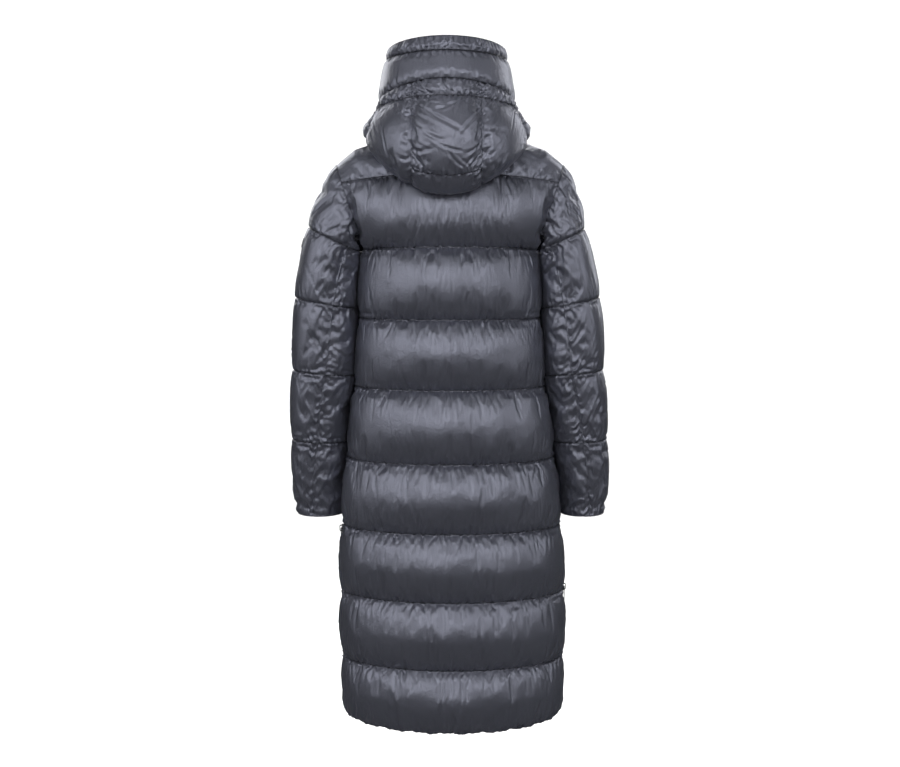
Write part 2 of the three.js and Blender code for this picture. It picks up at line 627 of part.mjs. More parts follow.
function hoodPanel(name, isMirrored, fractions, limits, hasBagSeam) {
  const { bag, lowBand } = HOOD_PADDING;
  const levels = HOOD_LEVELS.map((level) => Math.min(level, HOOD_HIGH_SEAM - HOOD_SEAM_LEVEL));
  const grid = levels.map((level) => {
    const [from, to] = limits(level);
    const girth = rowAt(HOOD, "level", level).sideX * radians(1);
    return fractions.map((f, c) => {
      const isFirst = c === 0;
      const isLast = c === fractions.length - 1;
      const share = (f - fractions[0]) / (fractions[fractions.length - 1] - fractions[0]);
      let angle = from + (to - from) * share;
      const edge = Math.min(angle - from, to - angle) * girth;
      if (isFirst) angle += SEAM_GAP / 2 / girth;
      if (isLast) angle -= SEAM_GAP / 2 / girth;
      const full = (level > HOOD_LOW_SEAM ? lowBand : bag) * hoodFilling(level);
      return hoodCell(level, angle, full * rise(edge) * crown(hoodChannel(level, hasBagSeam)));
    });
  });
  add(name, wallGeometry(shiftedHood(isMirrored ? mirrorGrid(grid) : grid, levels)), shellCloth);
}

// The brim and the casing at its edge go right round, from one side of the zip to the other.
function hoodBand(name, levels, puff) {
  const seams = hoodSeamAngles(HOOD_HIGH_SEAM);
  const spread = (from, to, list) => list.map((f) => from + (to - from) * f);
  const side = [
    ...spread(0, seams.centre, [0.3, 0.76]),
    ...spread(seams.centre, seams.side, HOOD_COLUMNS.slice(0, -1)),
    ...spread(seams.side, seams.front, HOOD_COLUMNS),
  ];
  const angles = [...side.map((a) => -a).reverse(), ...side];
  const fitted = (level) => hoodSeamAngles(level).front / seams.front;
  const first = levels[0];
  const last = levels[levels.length - 1];
  const girth = rowAt(HOOD, "level", first).sideX * radians(1);
  const grid = levels.map((level) => angles.map((angle) => {
    const s = (level - first) / (last - first);
    const edge = (seams.front - Math.abs(angle)) * girth;
    return hoodCell(level, angle * fitted(level), puff * crown(s) * rise(edge));
  }));
  add(name, wallGeometry(shiftedHood(grid, levels)), shellCloth);
}

function hood() {
  hoodPanel("hood_centre", false, HOOD_MIDDLE_COLUMNS,
    (level) => [-hoodSeamAngles(level).centre, hoodSeamAngles(level).centre], true);
  for (const [side, isMirrored] of [["left", false], ["right", true]]) {
    hoodPanel(`hood_side_${side}`, isMirrored, HOOD_COLUMNS,
      (level) => [hoodSeamAngles(level).centre, hoodSeamAngles(level).side], false);
    hoodPanel(`hood_front_${side}`, isMirrored, HOOD_COLUMNS,
      (level) => [hoodSeamAngles(level).side, hoodSeamAngles(level).front], false);
  }
  const brim = [HOOD_HIGH_SEAM + HOOD_SEAM_LEVEL / 2, 8.15, 8.5, 8.85, CASING_SEAM - HOOD_SEAM_LEVEL / 2];
  const casing = [CASING_SEAM + HOOD_SEAM_LEVEL, 9.25, 9.75, RIM];
  hoodBand("hood_brim", brim, HOOD_PADDING.brim);
  hoodBand("hood_casing", casing, HOOD_PADDING.casing);
}

// A zip is one strip: two tapes with the meshed teeth standing up in the middle.
function zipStrip(name, path, halfWidth, outDirection) {
  const profile = [
    [-halfWidth, 0.2], [-halfWidth, TAPE], [-CHAIN_HALF - 0.5, TAPE], [-CHAIN_HALF, CHAIN_TOP],
    [CHAIN_HALF, CHAIN_TOP], [CHAIN_HALF + 0.5, TAPE], [halfWidth, TAPE], [halfWidth, 0.2],
  ];
  const positions = [];
  const faces = [];
  path.forEach((point, i) => {
    const before = path[Math.max(i - 1, 0)];
    const after = path[Math.min(i + 1, path.length - 1)];
    const along = after.clone().sub(before).normalize();
    const across = along.clone().cross(outDirection).normalize();
    const out = across.clone().cross(along).normalize();
    for (const [x, height] of profile) {
      positions.push(...point.clone().addScaledVector(across, x).addScaledVector(out, height).toArray());
    }
  });
  const n = profile.length;
  for (let r = 0; r + 1 < path.length; r += 1) {
    for (let c = 0; c < n; c += 1) {
      const a = r * n + c;
      const b = r * n + ((c + 1) % n);
      faces.push(a, b, b + n, a, b + n, a + n);
    }
  }
  const lid = THREE.ShapeUtils.triangulateShape(profile.map(([x, y]) => new THREE.Vector2(x, y)), []);
  for (const [a, b, c] of lid) faces.push(a, c, b);
  const top = (path.length - 1) * n;
  for (const [a, b, c] of lid) faces.push(top + a, top + b, top + c);
  add(name, closedGeometry(positions, orientLids(positions, faces, lid.length)), zipCloth);
}

// The lids of a strip turn the same way as its sides: each shared edge is run through once each way.
function orientLids(positions, faces, lidCount) {
  const sides = faces.slice(0, faces.length - 6 * lidCount);
  const runs = new Set();
  for (let i = 0; i < sides.length; i += 3) {
    for (let k = 0; k < 3; k += 1) runs.add(`${sides[i + k]},${sides[i + ((k + 1) % 3)]}`);
  }
  const fixed = [...sides];
  for (const start of [sides.length, sides.length + 3 * lidCount]) {
    const lid = faces.slice(start, start + 3 * lidCount);
    let clashes = false;
    for (let i = 0; i < lid.length; i += 3) {
      for (let k = 0; k < 3; k += 1) clashes ||= runs.has(`${lid[i + k]},${lid[i + ((k + 1) % 3)]}`);
    }
    for (let i = 0; i < lid.length; i += 3) {
      fixed.push(...(clashes ? [lid[i], lid[i + 2], lid[i + 1]] : [lid[i], lid[i + 1], lid[i + 2]]));
    }
  }
  return fixed;
}

function frontZipPath() {
  const path = [];
  const climbs = [...BODY_SEAMS, climbOf(-145), climbOf(-115), climbOf(CHEST_SEAM), climbOf(NECK_FRONT)];
  for (let i = 0; i + 1 < climbs.length; i += 1) {
    const steps = i < BODY_SEAMS.length - 1 ? 2 : 1;
    for (let k = 0; k < steps; k += 1) {
      const at = climbs[i] + ((climbs[i + 1] - climbs[i]) * k) / steps;
      path.push(lean(bodyPoint(false, at, 0).setX(0)));
    }
  }
  path.push(bodyPoint(false, climbOf(NECK_FRONT), 0).setX(0));
  for (let level = 0.5; level <= RIM - 0.4; level += 0.9) {
    path.push(hoodPoint(level, 180).setX(hoodShift(level)));
  }
  path.push(hoodPoint(RIM - 0.12, 180).setX(hoodShift(RIM)));
  return path;
}

function sideZipPath(sign) {
  const path = [];
  const steps = 9;
  for (let k = 0; k <= steps; k += 1) {
    const z = HEM + HEM_CORNER + ((VENT_TOP - 14 - HEM - HEM_CORNER) * k) / steps;
    path.push(lean(new THREE.Vector3(sign * rowAt(TORSO, "z", z).side, 0, z)));
  }
  return path;
}

// Slider and pull, in their own axes: X across the zip, Y out of the cloth, Z up the zip.
const SLIDER = { half: 5.4, narrow: 4, length: 15, low: 0.35, top: 3.4 };
const BRIDGE = { halfWidth: 1.6, reach: 6, leg: 1.8, rise: 4.6, opening: 3.2 };
const PULL = {
  halfWidth: 4.3, tip: 2.4, top: 0.8, length: 34, thick: 1.4, axis: 4.9, windowHalf: 2.4, windowEnd: 7.4,
};

function extruded(outline, holes, depth) {
  const shape = new THREE.Shape(outline.map(([x, y]) => new THREE.Vector2(x, y)));
  for (const hole of holes) shape.holes.push(new THREE.Path(hole.map(([x, y]) => new THREE.Vector2(x, y))));
  return new THREE.ExtrudeGeometry(shape, { depth, bevelEnabled: false });
}

function solidOf(geometry) {
  const bare = geometry.index ? geometry.toNonIndexed() : geometry;
  const place = bare.getAttribute("position");
  const known = new Map();
  const vertices = [];
  const triangles = [];
  for (let i = 0; i < place.count; i += 1) {
    const key = [place.getX(i), place.getY(i), place.getZ(i)].map((v) => v.toFixed(4)).join();
    if (!known.has(key)) {
      known.set(key, vertices.length / 3);
      vertices.push(place.getX(i), place.getY(i), place.getZ(i));
    }
    triangles.push(known.get(key));
  }
  return new manifold.Manifold(new manifold.Mesh({
    numProp: 3,
    vertProperties: new Float32Array(vertices),
    triVerts: new Uint32Array(triangles),
  }));
}

function geometryOf(solid) {
  const mesh = solid.getMesh();
  const geometry = new THREE.BufferGeometry();
  geometry.setAttribute("position", new THREE.BufferAttribute(new Float32Array(mesh.vertProperties), 3));
  geometry.setIndex(new THREE.BufferAttribute(new Uint32Array(mesh.triVerts), 1));
  return geometry;
}

function sliderGeometry() {
  const { half, narrow, length, low, top } = SLIDER;
  const end = length / 2;
  const plate = extruded([
    [-narrow, -end], [narrow, -end], [narrow + 0.6, -end + 4], [half, end - 5],
    [half - 0.8, end - 1], [half - 2.4, end], [-half + 2.4, end], [-half + 0.8, end - 1],
    [-half, end - 5], [-narrow - 0.6, -end + 4],
  ], [], top - low);
  plate.rotateX(Math.PI / 2).translate(0, top, 0);
  const { halfWidth, reach, leg, rise: high, opening } = BRIDGE;
  const arch = extruded([
    [-reach, top - 0.5], [-reach, top + high - 1.5], [-reach + 1.5, top + high],
    [reach - 1.5, top + high], [reach, top + high - 1.5], [reach, top - 0.5],
    [reach - leg, top - 0.5], [reach - leg, top + opening], [-reach + leg, top + opening],
    [-reach + leg, top - 0.5],
  ], [], 2 * halfWidth);
  arch.translate(0, 0, -halfWidth).rotateY(-Math.PI / 2);
  return geometryOf(solidOf(plate).add(solidOf(arch)));
}

function pullGeometry() {
  const { halfWidth, tip, top, length, thick, axis, windowHalf, windowEnd } = PULL;
  const plate = extruded([
    [-halfWidth + 1, top], [halfWidth - 1, top], [halfWidth, top - 1], [halfWidth, -12],
    [tip + 0.8, -length + 4], [tip - 1.2, -length], [-tip + 1.2, -length], [-tip - 0.8, -length + 4],
    [-halfWidth, -12], [-halfWidth, top - 1],
  ], [[[-windowHalf, -0.8], [-windowHalf, -windowEnd], [windowHalf, -windowEnd], [windowHalf, -0.8]]], thick);
  plate.rotateX(Math.PI / 2).translate(0, axis + thick / 2, 0);
  return plate;
}

// The point of a zip's path at a height, between the two nearest points of it.
function onPath(path, z) {
  let i = 0;
  while (i + 2 < path.length && path[i + 1].z < z) i += 1;
  const share = (z - path[i].z) / (path[i + 1].z - path[i].z);
  return {
    point: path[i].clone().lerp(path[i + 1], share),
    up: path[i + 1].clone().sub(path[i]).normalize(),
  };
}

// Places a slider and its pull on a zip: origin on the teeth, with the ways out and up.
function slider(name, origin, out, up) {
  const across = out.clone().cross(up).normalize();
  const frame = new THREE.Matrix4().makeBasis(across, out, up).setPosition(origin);
  const parts = [["slider", sliderGeometry()], ["pull", pullGeometry()]];
  for (const [part, geometry] of parts) {
    const mesh = add(`${name}_zip_${part}`, geometry, zipHard);
    mesh.quaternion.setFromRotationMatrix(frame);
    mesh.position.copy(origin);
  }
}

function zips() {
  const frontPath = frontZipPath();
  zipStrip("front_zip", frontPath, ZIP_HALF, new THREE.Vector3(0, -1, 0));
  for (const [side, sign, z] of [["left", 1, LEFT_SLIDER_Z], ["right", -1, RIGHT_SLIDER_Z]]) {
    const out = new THREE.Vector3(sign, 0, 0);
    const path = sideZipPath(sign);
    zipStrip(`side_zip_${side}`, path, VENT_ZIP_HALF, out);
    const ends = [z - SLIDER.length / 2, z, z + SLIDER.length / 2];
    const reach = ends.map((at) => sign * onPath(path, at).point.x);
    const origin = new THREE.Vector3(sign * (Math.max(...reach) + CHAIN_TOP), 0, z);
    slider(side, origin, out, new THREE.Vector3(0, 0, 1));
  }
  const { point, up } = onPath(frontPath, FRONT_SLIDER_Z);
  const out = new THREE.Vector3(1, 0, 0).cross(up).normalize();
  if (out.y > 0) out.negate();
  const square = out.clone().cross(new THREE.Vector3(1, 0, 0)).normalize();
  slider("front", point.addScaledVector(out, CHAIN_TOP), out, square.z > 0 ? square : square.negate());
}

bodyPanels();
yokes();
sleeves();
hood();
zips();

export default coat;
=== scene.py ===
# %% [markdown]
# # A long hooded puffer coat
# The coat is a bag of air and down, sewn flat along lines. Each panel was cut from thin shiny
# nylon, and a second layer behind it holds the filling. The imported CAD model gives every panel's
# plain wall, and this file gives each panel its blown-up cloth, puckers, stitches and finish.

import math

import bpy
import numpy as np
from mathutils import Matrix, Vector
from mathutils.kdtree import KDTree


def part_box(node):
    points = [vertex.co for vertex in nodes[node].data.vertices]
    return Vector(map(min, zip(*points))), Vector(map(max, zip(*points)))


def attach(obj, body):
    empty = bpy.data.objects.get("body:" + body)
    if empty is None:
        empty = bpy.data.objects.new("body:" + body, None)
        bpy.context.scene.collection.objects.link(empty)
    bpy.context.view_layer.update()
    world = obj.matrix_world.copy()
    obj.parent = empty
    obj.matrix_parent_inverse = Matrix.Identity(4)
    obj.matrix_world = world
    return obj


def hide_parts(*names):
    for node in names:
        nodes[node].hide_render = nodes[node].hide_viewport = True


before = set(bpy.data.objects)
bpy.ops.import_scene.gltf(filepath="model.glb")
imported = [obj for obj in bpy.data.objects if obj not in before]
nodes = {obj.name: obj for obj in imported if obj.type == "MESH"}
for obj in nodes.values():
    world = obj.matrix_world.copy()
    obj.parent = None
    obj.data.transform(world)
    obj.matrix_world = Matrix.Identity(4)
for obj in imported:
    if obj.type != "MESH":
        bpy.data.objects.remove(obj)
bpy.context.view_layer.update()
COAT = "coat"
MM = 0.001

# %% [markdown]
# ## Camera, light and floor
# The photograph was taken from behind, from about 2.6 m away and a little below the shoulders,
# looking slightly down. A camera set up the same way lets the render be laid beside it. Shiny nylon
# shows what it mirrors, so the room's pale wall is kept out of its reflections. Tall soft boxes
# stand round the coat with dark gaps between them: every fold then mirrors a light edge and a dark
# one, where a single wide light would hide it.

# %% Camera
CAMERA_DISTANCE = 2.6
EYE_HEIGHT = -0.242
LOOK_DOWN = 4.87
FOCAL_LENGTH = 55.6

camera_data = bpy.data.cameras.new("camera")
camera_data.lens = FOCAL_LENGTH
camera_data.sensor_width = 36.0
camera_data.clip_end = 60
camera = bpy.data.objects.new("camera", camera_data)
camera.location = (0, CAMERA_DISTANCE, EYE_HEIGHT)
camera.rotation_euler = (math.radians(90 - LOOK_DOWN), 0, math.pi)
bpy.context.scene.collection.objects.link(camera)
bpy.context.scene.camera = camera
print("camera at", tuple(camera.location))


# %% Soft boxes
SHOULDERS, MIDDLE = (0, 0, -0.05), (0, 0, -0.45)


def soft_box(name, place, size, power, aim):
    data = bpy.data.lights.new(name, "AREA")
    data.shape = "RECTANGLE"
    data.size, data.size_y = size
    data.energy = power
    light = bpy.data.objects.new(name, data)
    light.location = place
    light.rotation_euler = (Vector(aim) - Vector(place)).to_track_quat("-Z", "Y").to_euler()
    light.visible_camera = False
    bpy.context.scene.collection.objects.link(light)
    return light


for name, *setting in (
    ("back_middle", (0.5, 3.15, 0.9), (1.1, 2.2), 30, SHOULDERS),
    ("back_left", (2.5, 2.45, 0.8), (0.9, 2.4), 26, SHOULDERS),
    ("back_right", (-1.7, 2.85, 0.85), (1.0, 2.4), 28, SHOULDERS),
    ("left", (3.6, 0.7, 0.6), (1.2, 2.6), 20, MIDDLE),
    ("right", (-3.5, 1.1, 0.6), (1.2, 2.6), 21, MIDDLE),
    ("overhead", (0, 0.3, 2.6), (1.6, 1.2), 8, MIDDLE),
    ("front_middle", (-0.5, -3.3, 1.3), (1.1, 2.0), 33, MIDDLE),
    ("front_left", (1.9, -2.9, 1.2), (1.0, 2.2), 30, MIDDLE),
    ("front_right", (-2.6, -2.4, 1.0), (0.9, 2.4), 28, MIDDLE),
):
    soft_box("light_" + name, *setting)
print("soft boxes:", len(bpy.data.lights))

# %% A dim room behind the lights
DIM_GLOW = 0.05

world = bpy.data.worlds.new("dim_room")
world.use_nodes = True
world.node_tree.nodes["Background"].inputs["Color"].default_value = (0.9, 0.94, 1.0, 1)
world.node_tree.nodes["Background"].inputs["Strength"].default_value = DIM_GLOW
bpy.context.scene.world = world
bpy.context.scene.view_settings.view_transform = "Standard"
print("the room glows with", DIM_GLOW)

# %% A pale floor that bends up into a wall
FLOOR_HEIGHT, FLAT_FLOOR = -1.42, 2.0
ROOM_RADIUS, ROOM_BEND, ROOM_TOP = 5.4, 1.2, 4.2
SPOKES, BEND_STEPS = 64, 13
PALE_ROOM = (0.92, 0.92, 0.92, 1)

profile = [(0.0, FLOOR_HEIGHT), (FLAT_FLOOR, FLOOR_HEIGHT)]
for turn in np.linspace(0, math.pi / 2, BEND_STEPS):
    reach = ROOM_RADIUS - ROOM_BEND + ROOM_BEND * math.sin(turn)
    profile.append((reach, FLOOR_HEIGHT + ROOM_BEND * (1 - math.cos(turn))))
profile.append((ROOM_RADIUS, ROOM_TOP))
turns = np.arange(SPOKES) * 2 * math.pi / SPOKES
room_points = [(r * math.cos(a), r * math.sin(a), z) for r, z in profile for a in turns]
room_faces = []
for ring in range(len(profile) - 1):
    for i in range(SPOKES):
        a, b = ring * SPOKES + i, ring * SPOKES + (i + 1) % SPOKES
        room_faces.append((a, b, b + SPOKES, a + SPOKES))
room_mesh = bpy.data.meshes.new("room")
room_mesh.from_pydata(room_points, [], room_faces)
room_mesh.shade_smooth()

pale_room = bpy.data.materials.new("pale_room")
pale_room.use_nodes = True
pale_room.node_tree.nodes["Principled BSDF"].inputs["Base Color"].default_value = PALE_ROOM
pale_room.node_tree.nodes["Principled BSDF"].inputs["Roughness"].default_value = 0.9
room_mesh.materials.append(pale_room)
room = bpy.data.objects.new("room", room_mesh)
room.visible_glossy = False
bpy.context.scene.collection.objects.link(room)
print("floor at", FLOOR_HEIGHT)

# %% Two lights that wash the walls
WASH_HEIGHT, WASH_OFFSET, WASH_POWER = 3.6, 0.4, 170

for name, side in (("wash_back", 1), ("wash_front", -1)):
    wash = soft_box(name, (0, WASH_OFFSET * side, WASH_HEIGHT), (0.6, 0.6), WASH_POWER,
                    (0, -ROOM_RADIUS * side, -0.2))
    wash.visible_glossy = False
print("lights in all:", len(bpy.data.lights))

# %% [markdown]
# ## Smooth tables
# A coat's shape changes smoothly from one stitch line to the next. Each table names a few heights
# and the sizes there, in millimetres, and a curve with no overshoot joins them.


# %% The curve between a table's rows
def table(columns, *rows):
    ordered = sorted(rows, key=lambda row: row[0])
    return {name: np.array([row[i] for row in ordered], float) for i, name in enumerate(columns.split())}


def smooth_value(knots, values, at):
    at = np.clip(np.asarray(at, float), knots[0], knots[-1])
    slope = np.diff(values) / np.diff(knots)
    product = slope[:-1] * slope[1:]
    total = slope[:-1] + slope[1:]
    middle = np.where(product > 0, 2 * product / np.where(product > 0, total, 1), 0)
    tangent = np.concatenate([slope[:1], middle, slope[-1:]])
    i = np.clip(np.searchsorted(knots, at, side="right") - 1, 0, len(knots) - 2)
    step = knots[i + 1] - knots[i]
    t = (at - knots[i]) / step
    return (
        (2 * t**3 - 3 * t**2 + 1) * values[i]
        + (t**3 - 2 * t**2 + t) * step * tangent[i]
        + (3 * t**2 - 2 * t**3) * values[i + 1]
        + (t**3 - t**2) * step * tangent[i + 1]
    )


def look_up(rows, at):
    key = next(iter(rows))
    return {name: smooth_value(rows[key], column, at) for name, column in rows.items()}


print("halfway between 0 and 1:", smooth_value(np.array([0, 1, 2]), np.array([0, 1, 2]), 0.5))

# %% The body's heights and sizes
HEM, ARMPIT = -1092, -210
BODY_SEAMS = [HEM, -976, -851, -726, -600, -467, -340, ARMPIT]
TORSO = table(
    "z side back front",
    (HEM, 199, 128, 124),
    (-976, 203, 129, 125),
    (-851, 204, 130, 125),
    (-726, 199, 128, 124),
    (-600, 185, 124, 122),
    (-514, 177, 119, 120),
    (-430, 165, 114, 118),
    (-340, 162, 113, 120),
    (ARMPIT, 153, 108, 118),
)
BACK_YOKE, NECK_BACK, FRONT_YOKE, NECK_FRONT, CHEST = 55.8, 37, -29.3, -62, -84.5
UPPER_BACK = table(
    "angle y z turn",
    (180, 108, ARMPIT, 90),
    (138, 106, -168, 76),
    (100, 102, -128, 62),
    (BACK_YOKE, 94, -78, 48),
    (46, 81, -46, 42),
    (NECK_BACK, 68, -14, 36),
)
UPPER_FRONT = table(
    "angle y z turn",
    (NECK_FRONT, -83.6, -61.6, 36),
    (CHEST, -96, -108, 50),
    (-115, -107, -150, 63),
    (-145, -114, -185, 76),
    (-180, -118, ARMPIT, 90),
)
NECK_ROWS = table(
    "angle neck turn",
    (NECK_BACK, 0, 36),
    (28, 24, 28),
    (18, 48, 20),
    (8, 72, 13),
    (-4, 98, 10),
    (-16, 116, 13),
    (FRONT_YOKE, 130, 18),
    (-45, 150, 26),
    (NECK_FRONT, 175, 36),
)
print("body rows:", len(TORSO["z"]), "and above the armpit", len(UPPER_BACK["angle"]), len(UPPER_FRONT["angle"]))

# %% The sleeves' and the hood's rings
ARMHOLE = (180, 0, -137.5, 82, 56, 70.8)
SLEEVE = table(
    "ring x y z half depth tilt left right left_in right_in",
    (0, *ARMHOLE, 0, 0, 0, 0),
    (0.5, 196.5, 0, -162.5, 58.5, 58, 55, 2, -3, 0, 0),
    (1, 211.5, 0, -196.5, 46, 60, 28, 4, -11, 0, 0),
    (1.5, 220.5, -1, -249, 43.5, 61, 14, 5, -6, 0, -2),
    (2, 226.5, -2, -312.5, 46, 60, 11, 9, -1, -2, -5),
    (2.5, 228.5, -3, -378, 46.5, 58, 8, 8, 1, 0, -2),
    (3, 232, -6, -442, 46.5, 56, 5, 9, 1, 0, -3),
    (3.5, 239.5, -11, -508, 41.5, 52, 3, 8, 3, 0, -1),
    (4, 242, -17, -571, 39.5, 49, 2, 9, 7, 0, 1),
    (4.5, 246.5, -25, -642, 35, 46, 1, 7, 8, 0, 4),
    (5, 243.5, -34, -713, 35, 42, 0, 6, 9, 0, 8),
)
SLEEVE_SEAMS = table(
    "ring back front",
    (0, 138, -115),
    (1, 124, -115),
    (2, 108, -115),
    (3, 97, -115),
    (4, 88, -115),
    (5, 75, -115),
)
HOOD = table(
    "level back_y back_z side_x side_y side_z front_y front_z",
    (0, 77, -6, 92.5, 1, 10.6, -87.5, -55.5),
    (1, 101, -27, 114, 7, 8, -89, -43),
    (2, 119, -66, 129, 12, 5, -93, -29),
    (3, 144, -108, 138, 16, -1, -97, -17),
    (4, 175, -85, 142, 18, 4, -99, -7),
    (5, 182, -30, 137, 18, 12, -101, 4),
    (6, 167, 18, 131, 17, 23, -102, 14),
    (7, 145, 51, 125, 15, 36, -102, 24),
    (8, 131, 83, 118, 12, 52, -101, 34),
    (9, 113, 134, 105, 3, 130, -97, 66),
    (10, 106, 161, 103, 0, 150, -93, 84),
)
print("rings:", len(SLEEVE["ring"]), "of a sleeve and", len(HOOD["level"]), "of the hood")

# %% [markdown]
# ## The plain inside of each panel
# The filling pushes the cloth off a plain inside. These functions give a point of that inside for
# a place on the panel, and the way out of it. A row of the body runs round from the middle to the
# side or, above the armpit, to the armhole, so one pair of numbers reaches every point.


# %% Points, rings and the two holes of the body
NECK_WIDE, NECK_BACK_DEEP, NECK_FRONT_DEEP = 86, 66, 86
BACK_CURVE, FRONT_CURVE = 1.35, 1.6


def radians(degrees):
    return np.asarray(degrees, float) * math.pi / 180


def points(x, y, z):
    return np.stack(np.broadcast_arrays(x, y, z), -1).astype(float)


def ring_point(x, y, z, half, depth, tilt, angle):
    out = half * np.cos(radians(angle))
    return points(
        x + out * np.cos(radians(tilt)), y + depth * np.sin(radians(angle)), z + out * np.sin(radians(tilt))
    )


def armhole_point(angle):
    return ring_point(*ARMHOLE, angle)


def neck_point(angle):
    c = np.cos(radians(angle))
    y = 2 + np.where(c > 0, NECK_BACK_DEEP, NECK_FRONT_DEEP) * c
    z = -1 + np.where(c > 0, -13 * np.abs(c) ** BACK_CURVE, -61 * np.abs(c) ** FRONT_CURVE)
    return points(NECK_WIDE * np.sin(radians(angle)), y, z)


print("armpit at", armhole_point(180).round(1), "and the neck's back at", neck_point(0).round(1))

# %% The inside of the body
ZIP_EDGE, HEM_CORNER = 7.4, 10
ARMPIT_SAG, SAG_REACH = 5, 100
BODY_BEND = 2.2


def body_angle(is_back, climb):
    return 180 - (climb - ARMPIT) if is_back else (climb - ARMPIT) - 180


def body_point(is_back, climb, u):
    """A point of the inside: climb runs up the cloth in millimetres, u from the middle to the side."""
    climb, u = (a.astype(float) for a in np.broadcast_arrays(climb, u))
    low = look_up(TORSO, climb)
    below = climb <= ARMPIT
    sag = ARMPIT_SAG * np.clip(1 - (ARMPIT - climb) / SAG_REACH, 0, 1)
    corner = HEM_CORNER * np.clip(1 - (climb - HEM) / (BODY_SEAMS[1] - HEM), 0, 1)
    middle_x = 0 if is_back else ZIP_EDGE
    start = points(middle_x, low["back"] if is_back else -low["front"], climb)
    end = points(low["side"], 0, climb - sag + corner)
    angle = body_angle(is_back, climb)
    high = look_up(UPPER_BACK, angle)
    chest = look_up(UPPER_FRONT, angle)
    beside = look_up(NECK_ROWS, angle)
    on_back, on_chest = angle > NECK_BACK, angle < NECK_FRONT
    up = np.where(on_back[..., None], points(0, high["y"], high["z"]), neck_point(beside["neck"]))
    up = np.where(on_chest[..., None], points(ZIP_EDGE, chest["y"], chest["z"]), up)
    turn = np.where(on_back, high["turn"], np.where(on_chest, chest["turn"], beside["turn"]))
    start = np.where(below[..., None], start, up)
    end = np.where(below[..., None], end, armhole_point(angle))
    turn = radians(np.where(below, 90, turn))
    bend = np.where(below, BODY_BEND, 1 + 0.9 * np.abs(np.sin(radians(angle / 2))))
    across = np.sin(u * turn) / np.sin(turn)
    round_ = (np.cos(u * turn) - np.cos(turn)) / (1 - np.cos(turn))
    return points(
        start[..., 0] + (end[..., 0] - start[..., 0]) * across,
        end[..., 1] + (start[..., 1] - end[..., 1]) * round_,
        start[..., 2] + (end[..., 2] - start[..., 2]) * np.abs(u) ** bend,
    )


print("hem's corner at", body_point(True, HEM, 1).round(1))


# %% The inside of the sleeves and the hood
def sleeve_point(side, ring, angle):
    ring, angle = np.broadcast_arrays(np.asarray(ring, float), np.asarray(angle, float))
    at = look_up(SLEEVE, ring)
    outer, inner = at[side] / 2, at[side + "_in"] / 2
    return ring_point(at["x"] + outer + inner, at["y"], at["z"], at["half"] + outer - inner, at["depth"],
                      at["tilt"], angle)


def hood_point(level, angle):
    """A point of the hood's inside: the angle is 0 behind, 90 at the side and 180 in front."""
    level, angle = np.broadcast_arrays(np.asarray(level, float), np.asarray(angle, float))
    at = look_up(HOOD, level)
    c = np.cos(radians(angle))
    y = at["side_y"] + np.where(c > 0, at["back_y"] - at["side_y"], at["side_y"] - at["front_y"]) * c
    lift = np.where(
        c > 0,
        (at["back_z"] - at["side_z"]) * np.abs(c) ** BACK_CURVE,
        (at["front_z"] - at["side_z"]) * np.abs(c) ** FRONT_CURVE,
    )
    return points(at["side_x"] * np.sin(radians(angle)), y, at["side_z"] + lift)


print("cuff at", sleeve_point("left", 5, 0).round(1), "and the hood's rim at", hood_point(10, 0).round(1))


# %% The way out of each surface
def unit(vectors):
    return vectors / np.maximum(np.linalg.norm(vectors, axis=-1, keepdims=True), 1e-9)


def way_out(surface, a, b, low, high, away, a_step=0.02, b_step=0.002):
    along = surface(np.minimum(a + a_step, high), b) - surface(np.maximum(a - a_step, low), b)
    across = surface(a, b + b_step) - surface(a, b - b_step)
    normal = unit(np.cross(along, across))
    return np.where((normal * away).sum(-1, keepdims=True) < 0, -normal, normal)


def climb_of(angle):
    return ARMPIT + 180 - abs(angle)


YOKE_END = ARMPIT + 180 - FRONT_YOKE


def body_out(is_back, climb, u):
    climb, u = np.broadcast_arrays(np.asarray(climb, float), np.asarray(u, float))
    here = body_point(is_back, climb, u)
    away = points(here[..., 0], here[..., 1], np.where(climb > ARMPIT, 60, 0))
    top = YOKE_END if is_back else climb_of(FRONT_YOKE)
    return way_out(lambda a, b: body_point(is_back, a, b), climb, u, HEM, top, away)


def sleeve_out(side, ring, angle):
    ring, angle = np.broadcast_arrays(np.asarray(ring, float), np.asarray(angle, float))
    at = look_up(SLEEVE, ring)
    away = sleeve_point(side, ring, angle) - points(at["x"], at["y"], at["z"])
    return way_out(lambda a, b: sleeve_point(side, a, b), ring, angle, 0, 5, away, b_step=0.1)


def hood_out(level, angle):
    """The way out of the hood, which turns over where the bag folds back up."""
    up = hood_point(np.minimum(level + 0.02, 10), angle) - hood_point(np.maximum(level - 0.02, 0), angle)
    around = hood_point(level, angle + 0.1) - hood_point(level, angle - 0.1)
    return -unit(np.cross(around, up))


def armhole_mitre(angle):
    """Half way between the body's and the sleeve's way out, where the two are sewn together."""
    angle = np.asarray(angle, float)
    angle = np.where(angle > 180, angle - 360, angle)
    behind = body_out(True, ARMPIT + 180 - np.maximum(angle, FRONT_YOKE), np.ones_like(angle))
    before = body_out(False, ARMPIT + 180 - np.abs(angle), np.ones_like(angle))
    body = np.where((angle >= FRONT_YOKE)[..., None], behind, before)
    sleeve = sleeve_out("left", np.zeros_like(angle), angle)
    half = np.sqrt(np.maximum((1 + (body * sleeve).sum(-1, keepdims=True)) / 2, 0.35))
    return unit(body + sleeve) / half


print("the way out in the middle of the back:", body_out(True, ARMPIT, 0.0).round(2))

# %% The coat isn't quite even from side to side
LEAN, LEAN_TOP, LEAN_REACH = -5, -500, 460
HOOD_SHIFT, SHIFT_LEVELS = 6, 3


